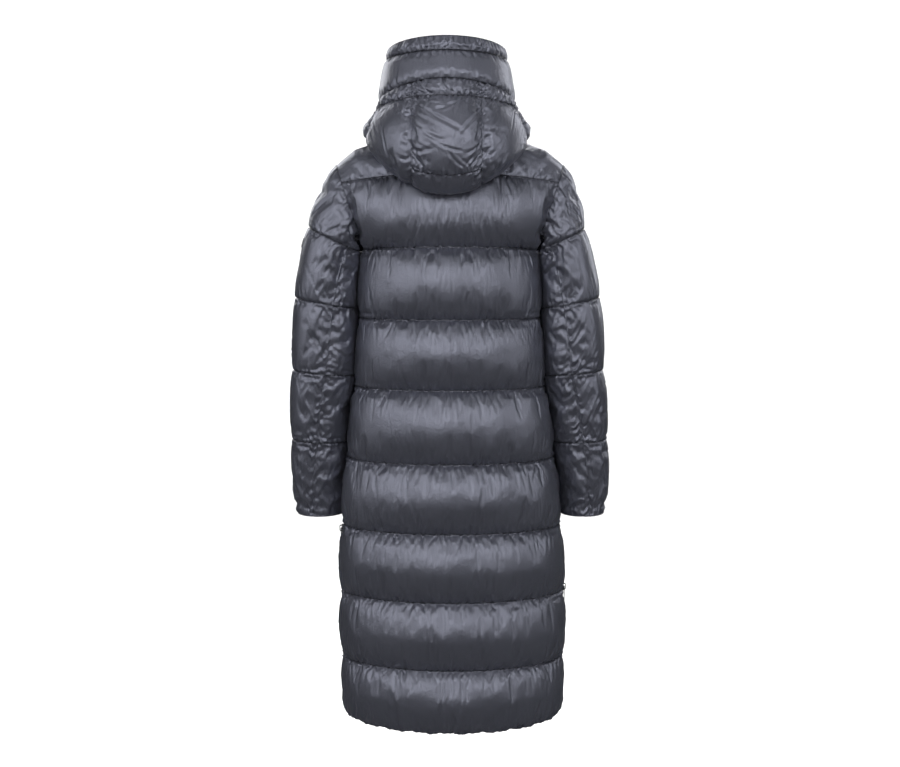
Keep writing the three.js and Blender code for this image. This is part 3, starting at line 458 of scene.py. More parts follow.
def lean(place):
    """Move the lower part of the body a little towards the wearer's right."""
    t = np.clip((LEAN_TOP - place[..., 2]) / LEAN_REACH, 0, 1)
    moved = place.copy()
    moved[..., 0] += LEAN * t * t * (3 - 2 * t)
    return moved


def hood_shift(level):
    """Say how far a ring of the hood stands towards the wearer's left."""
    t = np.clip(np.asarray(level, float) / SHIFT_LEVELS, 0, 1)
    return HOOD_SHIFT * t * t * (3 - 2 * t)


print("the hem leans by", lean(points(0, 0, HEM))[0].round(1), "mm and the hood by", hood_shift(10).round(1))

# %% [markdown]
# ## Panels
# Every panel is a fine net of cloth over the filling. It is thinnest on its sewn edges and stitch
# lines, where the thread pulls both layers together, and stands up between them. A panel keeps its
# seams, and how far along the cloth each point lies, because the puckers and the weave need both.

# %% How the filling stands up
SEAM_WALL, HEM_WALL, EDGE_RISE = 4, 7, 9
EVEN, BUNCHED = 0.55, 0.45
BACK_FILL, FRONT_FILL, ARM_FILL, SIDE_FILL = 18, 14, 9, 7
YOKE_FILL, YOKE_ARM_FILL = 2, 7


def crown(s):
    """How high the filling stands between two stitch lines, at a share s of the way across."""
    return np.maximum(0, 1 - np.abs(2 * s - 1) ** 3) ** 0.8


def rise(distance):
    """How fast the wall gets thick away from a sewn edge."""
    return 1 - np.exp(-((np.maximum(distance, 0) / EDGE_RISE) ** 1.3))


def channel_rows(seams, counts):
    """Place the rows of a net, closer together near the seams than between them."""
    at, share, lines = [seams[0]], [0.0], [0]
    for low, high, count in zip(seams, seams[1:], counts):
        t = np.arange(1, count + 1) / count
        s = EVEN * t + BUNCHED * (0.5 - 0.5 * np.cos(math.pi * t))
        at += list(low + (high - low) * s)
        share += list(s)
        lines.append(len(at) - 1)
    return np.array(at), np.array(share), lines


def body_puff(is_back, climb, u):
    middle = BACK_FILL if is_back else FRONT_FILL
    upper = ARM_FILL + (middle - ARM_FILL) * np.cos(u * 1.2)
    lower = SIDE_FILL + (middle - SIDE_FILL) * np.cos(u * math.pi / 2) ** 1.2
    puff = np.where(climb > ARMPIT, upper, lower)
    if is_back:
        yoke = YOKE_FILL + YOKE_ARM_FILL * np.clip((u - 0.5) / 0.35, 0, 1)
        puff = np.where(climb > climb_of(BACK_YOKE), yoke, puff)
    return puff


print("walls at a seam and at the hem:", SEAM_WALL, HEM_WALL, "mm")

# %% Nets of the body
VENT_TOP, VENT_GAP, SIDE_GAP = -727, 4.4, 0.15
ZIP_FLAT, HALF_BODY = 6, 200

panels = []


def keep_panel(name, node, inside, outside, lines, crumple):
    panels.append(dict(name=name, node=node, inside=inside, outside=outside, lines=lines, crumple=crumple))


def mirrored(net):
    return net * np.array([-1.0, 1, 1])


def body_net(is_back, climb, share, u):
    climb, share, u = climb[:, None], share[:, None], u[None, :]
    ends = body_point(is_back, climb, np.ones_like(u)) - body_point(is_back, climb, np.zeros_like(u))
    length = np.linalg.norm(ends, axis=-1)
    on_fold = is_back & (climb < climb_of(NECK_BACK))
    from_start = np.where(on_fold, length, u * length - ZIP_FLAT)
    fill = rise((1 - u) * length) * rise(from_start) * crown(share)
    stop = np.where(climb > ARMPIT, 0, np.where(climb < VENT_TOP, VENT_GAP, SIDE_GAP))
    inside = body_point(is_back, climb, np.minimum(u, 1 - stop / HALF_BODY))
    wall = np.where(climb <= HEM, HEM_WALL, SEAM_WALL) + body_puff(is_back, climb, u) * fill
    near = np.where(climb >= ARMPIT - 0.01, np.exp(-(((1 - u) * length / EDGE_RISE) ** 2)), 0)[..., None]
    mitre = armhole_mitre(np.clip(np.broadcast_to(body_angle(is_back, climb), wall.shape), -180, 180))
    out = body_out(is_back, climb, np.minimum(u, 0.999)) * (1 - near) + mitre * near
    return inside, inside + out * wall[..., None]


half = np.linspace(0, 1, 81)
back_at, back_share, back_lines = channel_rows([*BODY_SEAMS, climb_of(BACK_YOKE)], [17] * 8)
inside, outside = body_net(True, back_at, back_share, half)
whole = [np.concatenate([mirrored(net)[:, :0:-1], net], 1) for net in (inside, outside)]
keep_panel("back_cloth", "back_panel", lean(whole[0]), lean(whole[1]), back_lines, 1.4)

front_seams = [*BODY_SEAMS, climb_of(CHEST), climb_of(FRONT_YOKE)]
front_at, front_share, front_lines = channel_rows(front_seams, [17] * 7 + [17, 12])
inside, outside = body_net(False, front_at, front_share, half)
for side, nets in (("left", (inside, outside)), ("right", (mirrored(inside), mirrored(outside)))):
    keep_panel(f"front_cloth_{side}", f"front_panel_{side}", *map(lean, nets), front_lines, 1.4)
print("rows in the back's net:", len(back_at), "and in the fronts':", len(front_at))

# %% Yokes
yoke_at, yoke_share, yoke_lines = channel_rows([climb_of(BACK_YOKE), YOKE_END], [26])
inside, outside = body_net(True, yoke_at, yoke_share, np.linspace(0, 1, 41))
for net in (inside, outside):
    net[:, 0, 0] += np.where(yoke_at < climb_of(NECK_BACK), 0.15, 0)
for side, nets in (("left", (inside, outside)), ("right", (mirrored(inside), mirrored(outside)))):
    keep_panel(f"yoke_cloth_{side}", f"shoulder_yoke_{side}", *nets, yoke_lines, 0.7)
print(len(panels), "body panels")

# %% [markdown]
# ## Sleeves
# A padded sleeve is an upper and an under panel, sewn together down the front and the back of the
# arm. Both are nets between those two seams. Near the armhole the wall leans half way towards the
# body's own wall, so that the two panels meet in one line with no gap between them.

# %% Sleeve panels
ARM_RADIUS = 55
INNER_FILL, OUTER_FILL = 4, 2.5

ring_at, ring_share, ring_lines = channel_rows([0, 1, 2, 3, 4, 5], [14, 18, 20, 20, 20])


def sleeve_net(side, is_upper, count):
    ring, share = ring_at[:, None], ring_share[:, None]
    t = np.linspace(0, 1, count)[None, :]
    seams = look_up(SLEEVE_SEAMS, ring)
    first = seams["back"] if is_upper else seams["front"] + 360
    last = seams["front"] if is_upper else seams["back"]
    angle = first + (last - first) * t
    edge = np.minimum(np.abs(angle - first), np.abs(angle - last)) * ARM_RADIUS * math.pi / 180
    inside = sleeve_point(side, ring, angle)
    from_armhole = np.linalg.norm(inside - sleeve_point(side, np.zeros_like(angle), angle), axis=-1)
    puff = INNER_FILL + OUTER_FILL * np.sqrt((1 + np.cos(radians(angle))) / 2)
    opening = np.where(ring < 1, rise(from_armhole - SEAM_WALL), 1)
    wall = np.where(ring >= 5, HEM_WALL, SEAM_WALL) + puff * rise(edge) * crown(share) * opening
    near = np.where(ring < 1, np.exp(-((from_armhole / EDGE_RISE) ** 2)), 0)[..., None]
    out = sleeve_out(side, ring, angle) * (1 - near) + armhole_mitre(angle) * near
    return inside, inside + out * wall[..., None]


for side, is_right in (("left", False), ("right", True)):
    for part, is_upper, count in (("upper", True, 65), ("under", False, 37)):
        nets = sleeve_net(side, is_upper, count)
        if is_right:
            nets = [mirrored(net) for net in nets]
        keep_panel(f"sleeve_{part}_cloth_{side}", f"sleeve_{part}_{side}", *nets, ring_lines, 0.9)
print(len(panels), "panels with the sleeves")

# %% [markdown]
# ## Hood
# The hood hangs behind as a bag, and its edge stands up round the neck. Its rings start at the neck
# seam, go down inside the bag, turn at its lowest point and come up again outside to the rim. One
# net can then follow the whole fold.

# %% Hood panels
HOOD_CENTRE_HALF, HOOD_SIDE_SEAM = 59, 74
BAG_FILL, EDGE_FILL, EDGE_LEVEL = 8, 6, 7


def hood_seams(level):
    side_x = look_up(HOOD, level)["side_x"]
    return {
        "middle": -np.degrees(np.arcsin(HOOD_CENTRE_HALF / side_x)),
        "centre": np.degrees(np.arcsin(HOOD_CENTRE_HALF / side_x)),
        "side": HOOD_SIDE_SEAM + 0 * side_x,
        "front": 180 - np.degrees(np.arcsin(ZIP_EDGE / side_x)),
    }


def hood_net(first, last, level, share, count):
    level, share = level[:, None], share[:, None]
    seams = hood_seams(level)
    angle = seams[first] + (seams[last] - seams[first]) * np.linspace(0, 1, count)[None, :]
    girth = look_up(HOOD, level)["side_x"] * math.pi / 180
    edge = np.minimum(angle - seams[first], seams[last] - angle) * girth
    turned_up = np.clip((level - 2) / 2, 0, 1)
    full = np.where(level > EDGE_LEVEL, EDGE_FILL, BAG_FILL) * (0.25 + 0.75 * turned_up**2 * (3 - 2 * turned_up))
    wall = SEAM_WALL + full * rise(edge) * crown(share)
    inside = hood_point(level, angle)
    outside = inside + hood_out(level, angle) * wall[..., None]
    return inside, outside, points(hood_shift(level), 0, 0)


centre_at, centre_share, centre_lines = channel_rows([0, 4, 7, 7.99], [30, 36, 12])
side_at, side_share, side_lines = channel_rows([0, 7, 7.99], [62, 12])
*nets, shift = hood_net("middle", "centre", centre_at, centre_share, 41)
keep_panel("hood_centre_cloth", "hood_centre", *[net + shift for net in nets], centre_lines, 1.7)
for side, is_right in (("left", False), ("right", True)):
    for part, first, last, count in (("side", "centre", "side", 31), ("front", "side", "front", 33)):
        *nets, shift = hood_net(first, last, side_at, side_share, count)
        nets = [(mirrored(net) if is_right else net) + shift for net in nets]
        keep_panel(f"hood_{part}_cloth_{side}", f"hood_{part}_{side}", *nets, side_lines, 1.5)
print(len(panels), "panels with the hood's bag")


# %% The brim and the casing at the hood's edge
def hood_band(part, seams, count, puff, crumple):
    level, share, lines = channel_rows(seams, [count])
    level, share = level[:, None], share[:, None]
    front = hood_seams(level)["front"]
    angle = front * np.linspace(-1, 1, 161)[None, :]
    edge = (front - np.abs(angle)) * look_up(HOOD, level)["side_x"] * math.pi / 180
    wall = SEAM_WALL + puff * crown(share) * rise(edge)
    inside = hood_point(level, angle)
    outside = inside + hood_out(level, angle) * wall[..., None]
    shift = points(hood_shift(level), 0, 0)
    keep_panel(f"hood_{part}_cloth", f"hood_{part}", inside + shift, outside + shift, lines, crumple)


hood_band("brim", [8.01, 8.99], 14, 6, 0.3)
hood_band("casing", [9.01, 10], 10, 3, 1.0)
print(len(panels), "panels,", sum(p["outside"].shape[0] * p["outside"].shape[1] for p in panels), "net points")

# %% [markdown]
# ## Blowing up the cloth
# A puffer panel wrinkles because its cloth is cut bigger than the space between two stitch lines.
# Blender's cloth can do the same: the net is held still on its seams, its springs are given a
# little more length than they have, and a pressure pushes from inside. Where the cloth is free it
# stands taut, and beside each seam the spare length folds up by itself. All the panels are blown
# up together in one run, and each point may move only a little from the plain shape.


# %% A net as a mesh
def net_faces(rows, columns):
    index = np.arange(rows * columns).reshape(rows, columns)
    corners = [index[:-1, :-1], index[:-1, 1:], index[1:, 1:], index[1:, :-1]]
    return np.stack([c.ravel() for c in corners], 1)


def net_mesh(name, net, is_flipped):
    faces = net_faces(*net.shape[:2])
    mesh = bpy.data.meshes.new(name)
    mesh.from_pydata((net.reshape(-1, 3) * MM).tolist(), [], (faces[:, ::-1] if is_flipped else faces).tolist())
    return mesh


def faces_inward(panel):
    net, inside = panel["outside"], panel["inside"]
    r, c = net.shape[0] // 2, net.shape[1] // 2
    normal = np.cross(net[r, c + 1] - net[r, c], net[r + 1, c] - net[r, c])
    return float(normal @ (net[r, c] - inside[r, c])) < 0


print("wound inwards:", [p["name"] for p in panels if faces_inward(p)])

# %% One panel's cloth, held on its seams
FILL_FRAMES = 16
CLOTH_SETTINGS = dict(
    vertex_group_mass="sewn", quality=4, mass=0.1, tension_stiffness=15, compression_stiffness=15,
    shear_stiffness=4, bending_stiffness=0.02, air_damping=2, shrink_min=-0.035, use_pressure=True,
    uniform_pressure_force=3,
)


def fill_piece(panel):
    net = panel["outside"]
    piece = bpy.data.objects.new("fill_" + panel["name"], net_mesh("fill", net, faces_inward(panel)))
    bpy.context.scene.collection.objects.link(piece)
    held = np.zeros(net.shape[:2], bool)
    held[panel["lines"]] = True
    held[:, [0, -1]] = True
    group = piece.vertex_groups.new(name="sewn")
    group.add(np.flatnonzero(held.ravel()).tolist(), 1.0, "REPLACE")
    cloth = piece.modifiers.new("filling", "CLOTH")
    for setting, value in CLOTH_SETTINGS.items():
        setattr(cloth.settings, setting, value)
    cloth.settings.effector_weights.gravity = 0
    cloth.collision_settings.use_collision = False
    cloth.point_cache.frame_start, cloth.point_cache.frame_end = 1, FILL_FRAMES
    return piece


print("spare length:", -100 * CLOTH_SETTINGS["shrink_min"], "percent, over", FILL_FRAMES, "frames")

# %% Blow up all the panels, then keep only their points
MOST_MOVE = {"shoulder": 3.5, "hood_front": 2.0, "hood_side": 4.0, "hood_brim": 1.5, "hood": 5.0,
             "sleeve": 2.5, "back": 8.0, "front": 8.0}


def blow_up(panels):
    scene = bpy.context.scene
    scene.frame_start, scene.frame_end = 1, FILL_FRAMES
    scene.frame_set(1)
    made = [fill_piece(panel) for panel in panels]
    for step in range(2, FILL_FRAMES + 1):
        scene.frame_set(step)
    graph = bpy.context.evaluated_depsgraph_get()
    for panel, piece in zip(panels, made):
        blown = piece.evaluated_get(graph).to_mesh()
        flat = np.empty(len(blown.vertices) * 3, np.float32)
        blown.vertices.foreach_get("co", flat)
        move = flat.reshape(panel["outside"].shape) / MM - panel["outside"]
        far = np.linalg.norm(move, axis=-1, keepdims=True)
        most = MOST_MOVE[next(kind for kind in MOST_MOVE if panel["node"].startswith(kind))]
        panel["move"] = move * np.minimum(1, most / np.maximum(far, 1e-6))
        panel["outside"] = panel["outside"] + panel["move"]
        piece.evaluated_get(graph).to_mesh_clear()
    for piece in made:
        mesh = piece.data
        bpy.data.objects.remove(piece)
        bpy.data.meshes.remove(mesh)
    scene.frame_set(1)


blow_up(panels)
moved = np.concatenate([np.linalg.norm(p["move"], axis=-1).ravel() for p in panels])
print("blown up: points moved", moved.mean().round(1), "mm on average, at most", moved.max().round(1))

# %% [markdown]
# ## Finer nets
# The simulation's net has a point every three to eight millimetres, which is enough for big folds
# but not for puckers. Each net is woven twice as fine, one channel at a time, so that the curve
# stays round between two stitch lines and keeps its sharp valley on them.


# %% Weave a net twice as fine
def between(stretch):
    before = np.concatenate([2 * stretch[:1] - stretch[1:2], stretch[:-2]])
    after = np.concatenate([stretch[2:], 2 * stretch[-1:] - stretch[-2:-1]])
    middle = (9 * (stretch[:-1] + stretch[1:]) - (before + after)) / 16
    woven = np.empty((2 * len(stretch) - 1, *stretch.shape[1:]))
    woven[::2], woven[1::2] = stretch, middle
    return woven


def finer(net, lines):
    channels = [between(net[a : b + 1]) for a, b in zip(lines, lines[1:])]
    rows = np.concatenate([channels[0], *[channel[1:] for channel in channels[1:]]])
    return between(rows.swapaxes(0, 1)).swapaxes(0, 1)


def lengths(net, axis):
    step = np.linalg.norm(np.diff(net, axis=axis), axis=-1)
    pad = [(0, 0), (0, 0)]
    pad[axis] = (1, 0)
    return np.pad(np.cumsum(step, axis=axis), pad)


def net_normals(net, inside):
    normal = unit(np.cross(np.gradient(net, axis=1), np.gradient(net, axis=0)))
    return normal if (normal * (net - inside)).sum() > 0 else -normal


def weave_finer(panel):
    panel["inside"] = finer(panel["inside"], panel["lines"])
    panel["outside"] = finer(panel["outside"], panel["lines"])
    panel["lines"] = [2 * line for line in panel["lines"]]
    u, v = lengths(panel["outside"], 1), lengths(panel["outside"], 0)
    panel["u"], panel["v"] = u - u[:, u.shape[1] // 2][:, None], v
    panel["from_line"] = np.min([np.abs(v - v[line]) for line in panel["lines"]], axis=0)
    panel["from_side"] = np.minimum(u, u[:, -1:] - u)


for panel in panels:
    weave_finer(panel)
    wide = (panel["u"].max(axis=1) - panel["u"].min(axis=1)).max()
    print(panel["name"], "is cut", round(wide), "mm wide and", round(panel["v"].max()), "mm long")
print("the finest net has", max(p["outside"].shape[0] * p["outside"].shape[1] for p in panels), "points")

# %% [markdown]
# ## Puckers and creases
# A stitch line gathers the cloth, so short hard creases run away from it at right angles, and a few
# reach far into the channel. A pucker isn't a plain groove: beside each trough the spare cloth
# stands up as a lip, and that pair is what catches the light. Each crease has its own place,
# length, width and slant, from a seeded table of chances, so every run gives the same coat.


# %% One crease, and the many beside a stitch line
LIP_PLACE, LIP_HEIGHT = 1.6, 0.5
LONG_CHANCE, LONG_LEAST, LONG_MORE = 0.25, 12, 36
SHORT_LEAST, SHORT_MORE, MOST_OF_CHANNEL = 9, 20, 0.72
THIN, WIDER_BY, SLANT_SPREAD, SEAM_FADE = 1.7, 0.8, 0.2, 1.2


def crease_profile(x):
    lips = LIP_HEIGHT * np.exp(-((x - LIP_PLACE) ** 2)), LIP_HEIGHT * np.exp(-((x + LIP_PLACE) ** 2))
    return -np.exp(-(x**2)) + lips[0] + lips[1]


def seam_creases(u, v, lines, depth, spacing, rng):
    field = np.zeros_like(u)
    for low, high in zip(lines, lines[1:]):
        rows = slice(low, high + 1)
        tall = float((v[high] - v[low]).max())
        left, right = float(u[rows].min()), float(u[rows].max())
        for seam in (low, high):
            away = np.abs(v[rows] - v[seam])
            for _ in range(int((right - left) / spacing)):
                far = LONG_MORE * rng.random() + LONG_LEAST if rng.random() < LONG_CHANCE else 0
                reach = min(SHORT_LEAST + SHORT_MORE * rng.random() ** 1.4 + far, MOST_OF_CHANNEL * tall)
                wide = THIN + WIDER_BY * rng.random() + 0.02 * reach
                size = depth * (0.4 + 1.3 * rng.random() ** 1.5)
                slant = rng.normal(0, SLANT_SPREAD)
                x = (u[rows] - rng.uniform(left, right) - slant * away) / wide
                near = np.abs(x) < 4
                fade = np.clip(1 - away / reach, 0, 1) ** 1.2 * (1 - np.exp(-away / SEAM_FADE))
                field[rows][near] += size * crease_profile(x[near]) * fade[near]
    return field


print("across a crease:", crease_profile(np.arange(0, 4, 0.8)).round(2))


# %% Creases that lie loose in a panel
CASING_PLACES, PLACE_SPREAD = [28, -4, -67], 7


def loose_creases(u, v, recipe, rng, places=None):
    field = np.zeros_like(u)
    for number in range(recipe["count"]):
        slant = recipe["slants"][rng.integers(len(recipe["slants"]))]
        turn = math.radians(rng.normal(slant, recipe.get("spread", 12)))
        middle = rng.uniform(u.min(), u.max())
        if places:
            middle = rng.normal(places[number % len(places)], PLACE_SPREAD)
        x, y = u - middle, v - rng.uniform(v.min(), v.max())
        along = x * math.cos(turn) + y * math.sin(turn)
        reach = recipe["reach"] * (0.35 + 0.65 * rng.random())
        across = y * math.cos(turn) - x * math.sin(turn) + rng.normal(0, 0.14) * along**2 / reach
        wide = recipe["wide"] * (0.6 + 0.8 * rng.random())
        size = recipe["depth"] * (0.4 + 0.6 * rng.random())
        near = (np.abs(across) < 4 * wide) & (np.abs(along) < 2.2 * reach)
        field[near] += size * crease_profile(across[near] / wide) * np.exp(-((along[near] / reach) ** 2))
    return field


LOOSE = {
    "hood_centre": dict(count=36, reach=36, depth=3.6, wide=2.6, slants=(34, -30, 22), spread=9),
    "hood_side": dict(count=20, reach=34, depth=1.8, wide=2.7, slants=(10, 35, -20)),
    "hood_front": dict(count=14, reach=26, depth=1.2, wide=3.4, slants=(0, 40)),
    "hood_brim": dict(count=6, reach=30, depth=0.4, wide=4.0, slants=(85, 5)),
    "hood_casing": dict(count=60, reach=12, depth=2.0, wide=1.9, slants=(60, 100, 130), spread=20),
    "sleeve_upper": dict(count=52, reach=44, depth=2.2, wide=2.7, slants=(-28, 18, 38)),
    "sleeve_under": dict(count=34, reach=34, depth=2.2, wide=2.7, slants=(-30, 30)),
    "shoulder_yoke": dict(count=14, reach=28, depth=0.9, wide=3.4, slants=(10, -30)),
    "back_panel": dict(count=150, reach=30, depth=0.6, wide=2.3, slants=(78, 90, 100)),
    "front_panel": dict(count=80, reach=30, depth=0.6, wide=2.3, slants=(78, 90, 100)),
}
print("loose creases:", {kind: recipe["count"] for kind, recipe in LOOSE.items()})

# %% Crease every panel
SIDE_GATHERS = {"hood": 1.5, "sleeve": 2.0, "back": 0.7, "front": 0.7, "shoulder": 0.5}
SEAM_SPACING, SIDE_SPACING, THINNEST = 3.8, 4.4, 2.4
HEM_WAVES = [(2 * math.pi / 61, 0.4, 1.1), (2 * math.pi / 27, 1.9, 0.8), (2 * math.pi / 13, 3.1, 0.5)]
HEM_REACH, LINE_FADE, SIDE_FADE = 14, 6, 5
FLAT_AT_SLEEVE, FULLER_BY = 3.0, 0.2
FIRST_SEED = 100


def ease_shoulder_end(panel):
    """Let a shoulder yoke go flat towards the sleeve, so that the shoulder slopes without a step."""
    u, x = panel["u"], np.abs(panel["outside"][..., 0]).mean(axis=0)
    armhole = 0 if x[0] > x[-1] else -1
    offset = panel["outside"] - panel["inside"]
    height = np.linalg.norm(offset, axis=-1)
    most = FLAT_AT_SLEEVE + FULLER_BY * np.abs(u - u[:, armhole][:, None])
    panel["outside"] = panel["inside"] + offset * np.minimum(1, most / height)[..., None]


def crease(panel, seed):
    rng = np.random.default_rng(seed)
    u, v, node = panel["u"], panel["v"], panel["node"]
    field = seam_creases(u, v, panel["lines"], panel["crumple"], SEAM_SPACING, rng)
    gathers = SIDE_GATHERS[node.split("_")[0]] * panel["crumple"]
    ends = [0, u.shape[1] - 1]
    field += seam_creases(v.T.copy(), u.T.copy(), ends, gathers, SIDE_SPACING, rng).T
    recipe = LOOSE[next(kind for kind in LOOSE if node.startswith(kind))]
    free = (1 - np.exp(-panel["from_line"] / LINE_FADE)) * (1 - np.exp(-panel["from_side"] / SIDE_FADE))
    places = CASING_PLACES if node == "hood_casing" else None
    field += free * loose_creases(u, v, recipe, rng, places)
    if node.startswith(("back", "front")):
        lift = sum(size * np.sin(turn * u + start) for turn, start, size in HEM_WAVES) * np.exp(-v / HEM_REACH)
        for side in ("inside", "outside"):
            panel[side] = panel[side] + np.stack([0 * lift, 0 * lift, lift], -1)
    room = np.linalg.norm(panel["outside"] - panel["inside"], axis=-1)
    field = np.maximum(field, THINNEST - room)
    panel["outside"] = panel["outside"] + net_normals(panel["outside"], panel["inside"]) * field[..., None]


for number, panel in enumerate(panels):
    if panel["node"].startswith("shoulder"):
        ease_shoulder_end(panel)
    crease(panel, FIRST_SEED + number)
print("creased", len(panels), "panels")

# %% [markdown]
# ## Where the sleeves press on the body
# In the photograph no light comes between the sleeves and the body: the two padded walls press on
# each other and go flat where they touch. A map of the slot is made for each side, the two cloths
# are filled out towards each other, and neither may pass the surface halfway between them.

# %% A map of the slot between a sleeve and the body
CELL, HALF_DEPTH, SIDE_FROM = 5.0, 80, 120
TOUCH_Y = np.arange(-HALF_DEPTH, HALF_DEPTH + 1, CELL)
TOUCH_Z = np.arange(-712, -188, CELL)


def blurred(field, passes=3):
    for _ in range(passes):
        padded = np.pad(field, 1, mode="edge")
        field = (padded[:-2, 1:-1] + 2 * padded[1:-1, 1:-1] + padded[2:, 1:-1]) / 4
        padded = np.pad(field, 1, mode="edge")
        field = (padded[1:-1, :-2] + 2 * padded[1:-1, 1:-1] + padded[1:-1, 2:]) / 4
    return field


def cell_of(p):
    return (p[..., 2] - TOUCH_Z[0]) / CELL, (p[..., 1] - TOUCH_Y[0]) / CELL


def reach_map(nets, sign, keep):
    best = np.full((len(TOUCH_Z), len(TOUCH_Y)), np.nan)
    for net in nets:
        p = net.reshape(-1, 3)
        i, j = (np.rint(c).astype(int) for c in cell_of(p))
        ok = (p[:, 0] * sign > SIDE_FROM) & (i >= 0) & (i < len(TOUCH_Z)) & (j >= 0) & (j < len(TOUCH_Y))
        keep.at(best, (i[ok], j[ok]), p[ok, 0] * sign)
    return best


def read_map(field, p):
    i, j = cell_of(p)
    i, j = np.clip(i, 0, len(TOUCH_Z) - 1.001), np.clip(j, 0, len(TOUCH_Y) - 1.001)
    a, b = i.astype(int), j.astype(int)
    s, t = i - a, j - b
    return ((1 - s) * (1 - t) * field[a, b] + s * (1 - t) * field[a + 1, b]
            + (1 - s) * t * field[a, b + 1] + s * t * field[a + 1, b + 1])


print("the map of the slot has", len(TOUCH_Z), "by", len(TOUCH_Y), "cells")

# %% Press the sleeves and the body together
OVERFILL, CLEARANCE, MOST_FILL = 2.5, 0.35, 16.0
EMPTY_BODY, EMPTY_SLEEVE = 150, 400
GAP_REACH, CLOTH_DEPTH, LOW_FADE, HIGH_FADE = 14, 40, 30, 10


def press_together(side, sign):
    body = [p for p in panels if p["name"] in ("back_cloth", "front_cloth_" + side)]
    sleeve = [p for p in panels if p["name"] in ("sleeve_upper_cloth_" + side, "sleeve_under_cloth_" + side)]
    outer = reach_map([p["outside"] for p in body], sign, np.fmax)
    inner = reach_map([p["outside"] for p in sleeve], sign, np.fmin)
    known = ~np.isnan(outer) & ~np.isnan(inner)
    outer, inner = blurred(np.where(known, outer, EMPTY_BODY)), blurred(np.where(known, inner, EMPTY_SLEEVE))
    sure = np.clip(2 * blurred(known.astype(float), 1) - 1, 0, 1)
    gap = inner - outer
    least = blurred(gap.min(axis=1)[:, None] + 0 * gap, 6)
    low, high = (TOUCH_Z - TOUCH_Z[0]) / LOW_FADE, (TOUCH_Z[-1] - TOUCH_Z) / HIGH_FADE
    ends = np.clip(low, 0, 1) * np.clip(high, 0, 1)
    fill = np.clip(least + OVERFILL, 0, MOST_FILL) * ends[:, None] * np.exp(-(((gap - least) / GAP_REACH) ** 2))
    meeting = (outer + inner) / 2
    for group, way, edge_of in ((body, 1, outer), (sleeve, -1, inner)):
        for panel in group:
            net = panel["outside"]
            x, y, z = net[..., 0] * sign, np.abs(net[..., 1]), net[..., 2]
            in_map = (y < HALF_DEPTH) & (z < TOUCH_Z[-1] + CELL) & (z > TOUCH_Z[0])
            facing = np.clip(1 - way * (read_map(edge_of, net) - x) / CLOTH_DEPTH, 0, 1) * in_map
            moved = x + way * facing * read_map(fill, net) / 2
            limit = read_map(meeting, net) - way * CLEARANCE
            stopped = np.minimum(moved, limit) if way == 1 else np.maximum(moved, limit)
            wanted = np.where(facing > 0, stopped, x)
            net[..., 0] = (x + (wanted - x) * read_map(sure, net)) * sign
    return float(gap.min()), float(least.mean())


for side, sign in (("left", 1), ("right", -1)):
    print(side, "slot, least and mean before:", [round(v, 1) for v in press_together(side, sign)])

# %% [markdown]
# ## From nets to closed panels
# Each panel becomes one closed, padded piece: the outer cloth turns in round every edge and meets
# the lining. The lining needs far fewer points, so it uses every fourth one, with the points of the
# rim put into its outermost faces. Each piece carries two maps in metres: where a point lies on
# the flat cloth, for the weave, and how far it is from the nearest stitch line, for fine puckers.
# Two panels that are sewn together meet in their seam, so their rims are pulled to one another.

# %% Bring the rims of neighbours together
RIM_CLOSE, SEAM_REACH, SEAM_LAP = 0.02, 2.2, 0.1


def rim_order(rows, columns):
    index = np.arange(rows * columns).reshape(rows, columns)
    return np.concatenate([index[0, :-1], index[:-1, -1], index[-1, :0:-1], index[:0:-1, 0]])


def meet_in_the_seam():
    """Pull the rims of neighbouring panels together, so that no light comes through a seam."""
    edges = [p["inside"].reshape(-1, 3)[rim_order(*p["inside"].shape[:2])] for p in panels]
    for number, panel in enumerate(panels):
        others = np.concatenate([edge for k, edge in enumerate(edges) if k != number])
        tree = KDTree(len(others))
        for k, point in enumerate(others):
            tree.insert(point, k)
        tree.balance()
        pull = np.zeros_like(edges[number])
        for k, point in enumerate(edges[number]):
            near, _, distance = tree.find(point)
            if RIM_CLOSE < distance < SEAM_REACH:
                pull[k] = (np.array(near) - point) * (0.5 + SEAM_LAP / distance)
        panel["pull"] = pull


meet_in_the_seam()
print("rims pulled by at most", max(np.linalg.norm(p["pull"], axis=-1).max() for p in panels).round(2), "mm")


# %% The lining's faces, from every fourth point
def lining_faces(rows, columns, rim_at, inner_at):
    faces = []
    for r in range(0, rows - 1, 4):
        for c in range(0, columns - 1, 4):
            around = [(r, c + k) for k in range(4)] + [(r + k, c + 4) for k in range(4)]
            around += [(r + 4, c + 4 - k) for k in range(4)] + [(r + 4 - k, c) for k in range(4)]
            face = []
            for row, column in around:
                if row in (0, rows - 1) or column in (0, columns - 1):
                    face.append(rim_at[row, column])
                elif row % 4 == 0 and column % 4 == 0:
                    face.append(inner_at[row, column])
            faces.append(face)
    return faces


sample_rim = {divmod(int(i), 9): 0 for i in rim_order(9, 9)}
print("a net of 9 by 9 points gets", len(lining_faces(9, 9, sample_rim, {(4, 4): 0})), "lining faces")

# %% Build one padded panel
LINING_TUCK, TUCK_REACH = 1.4, 12


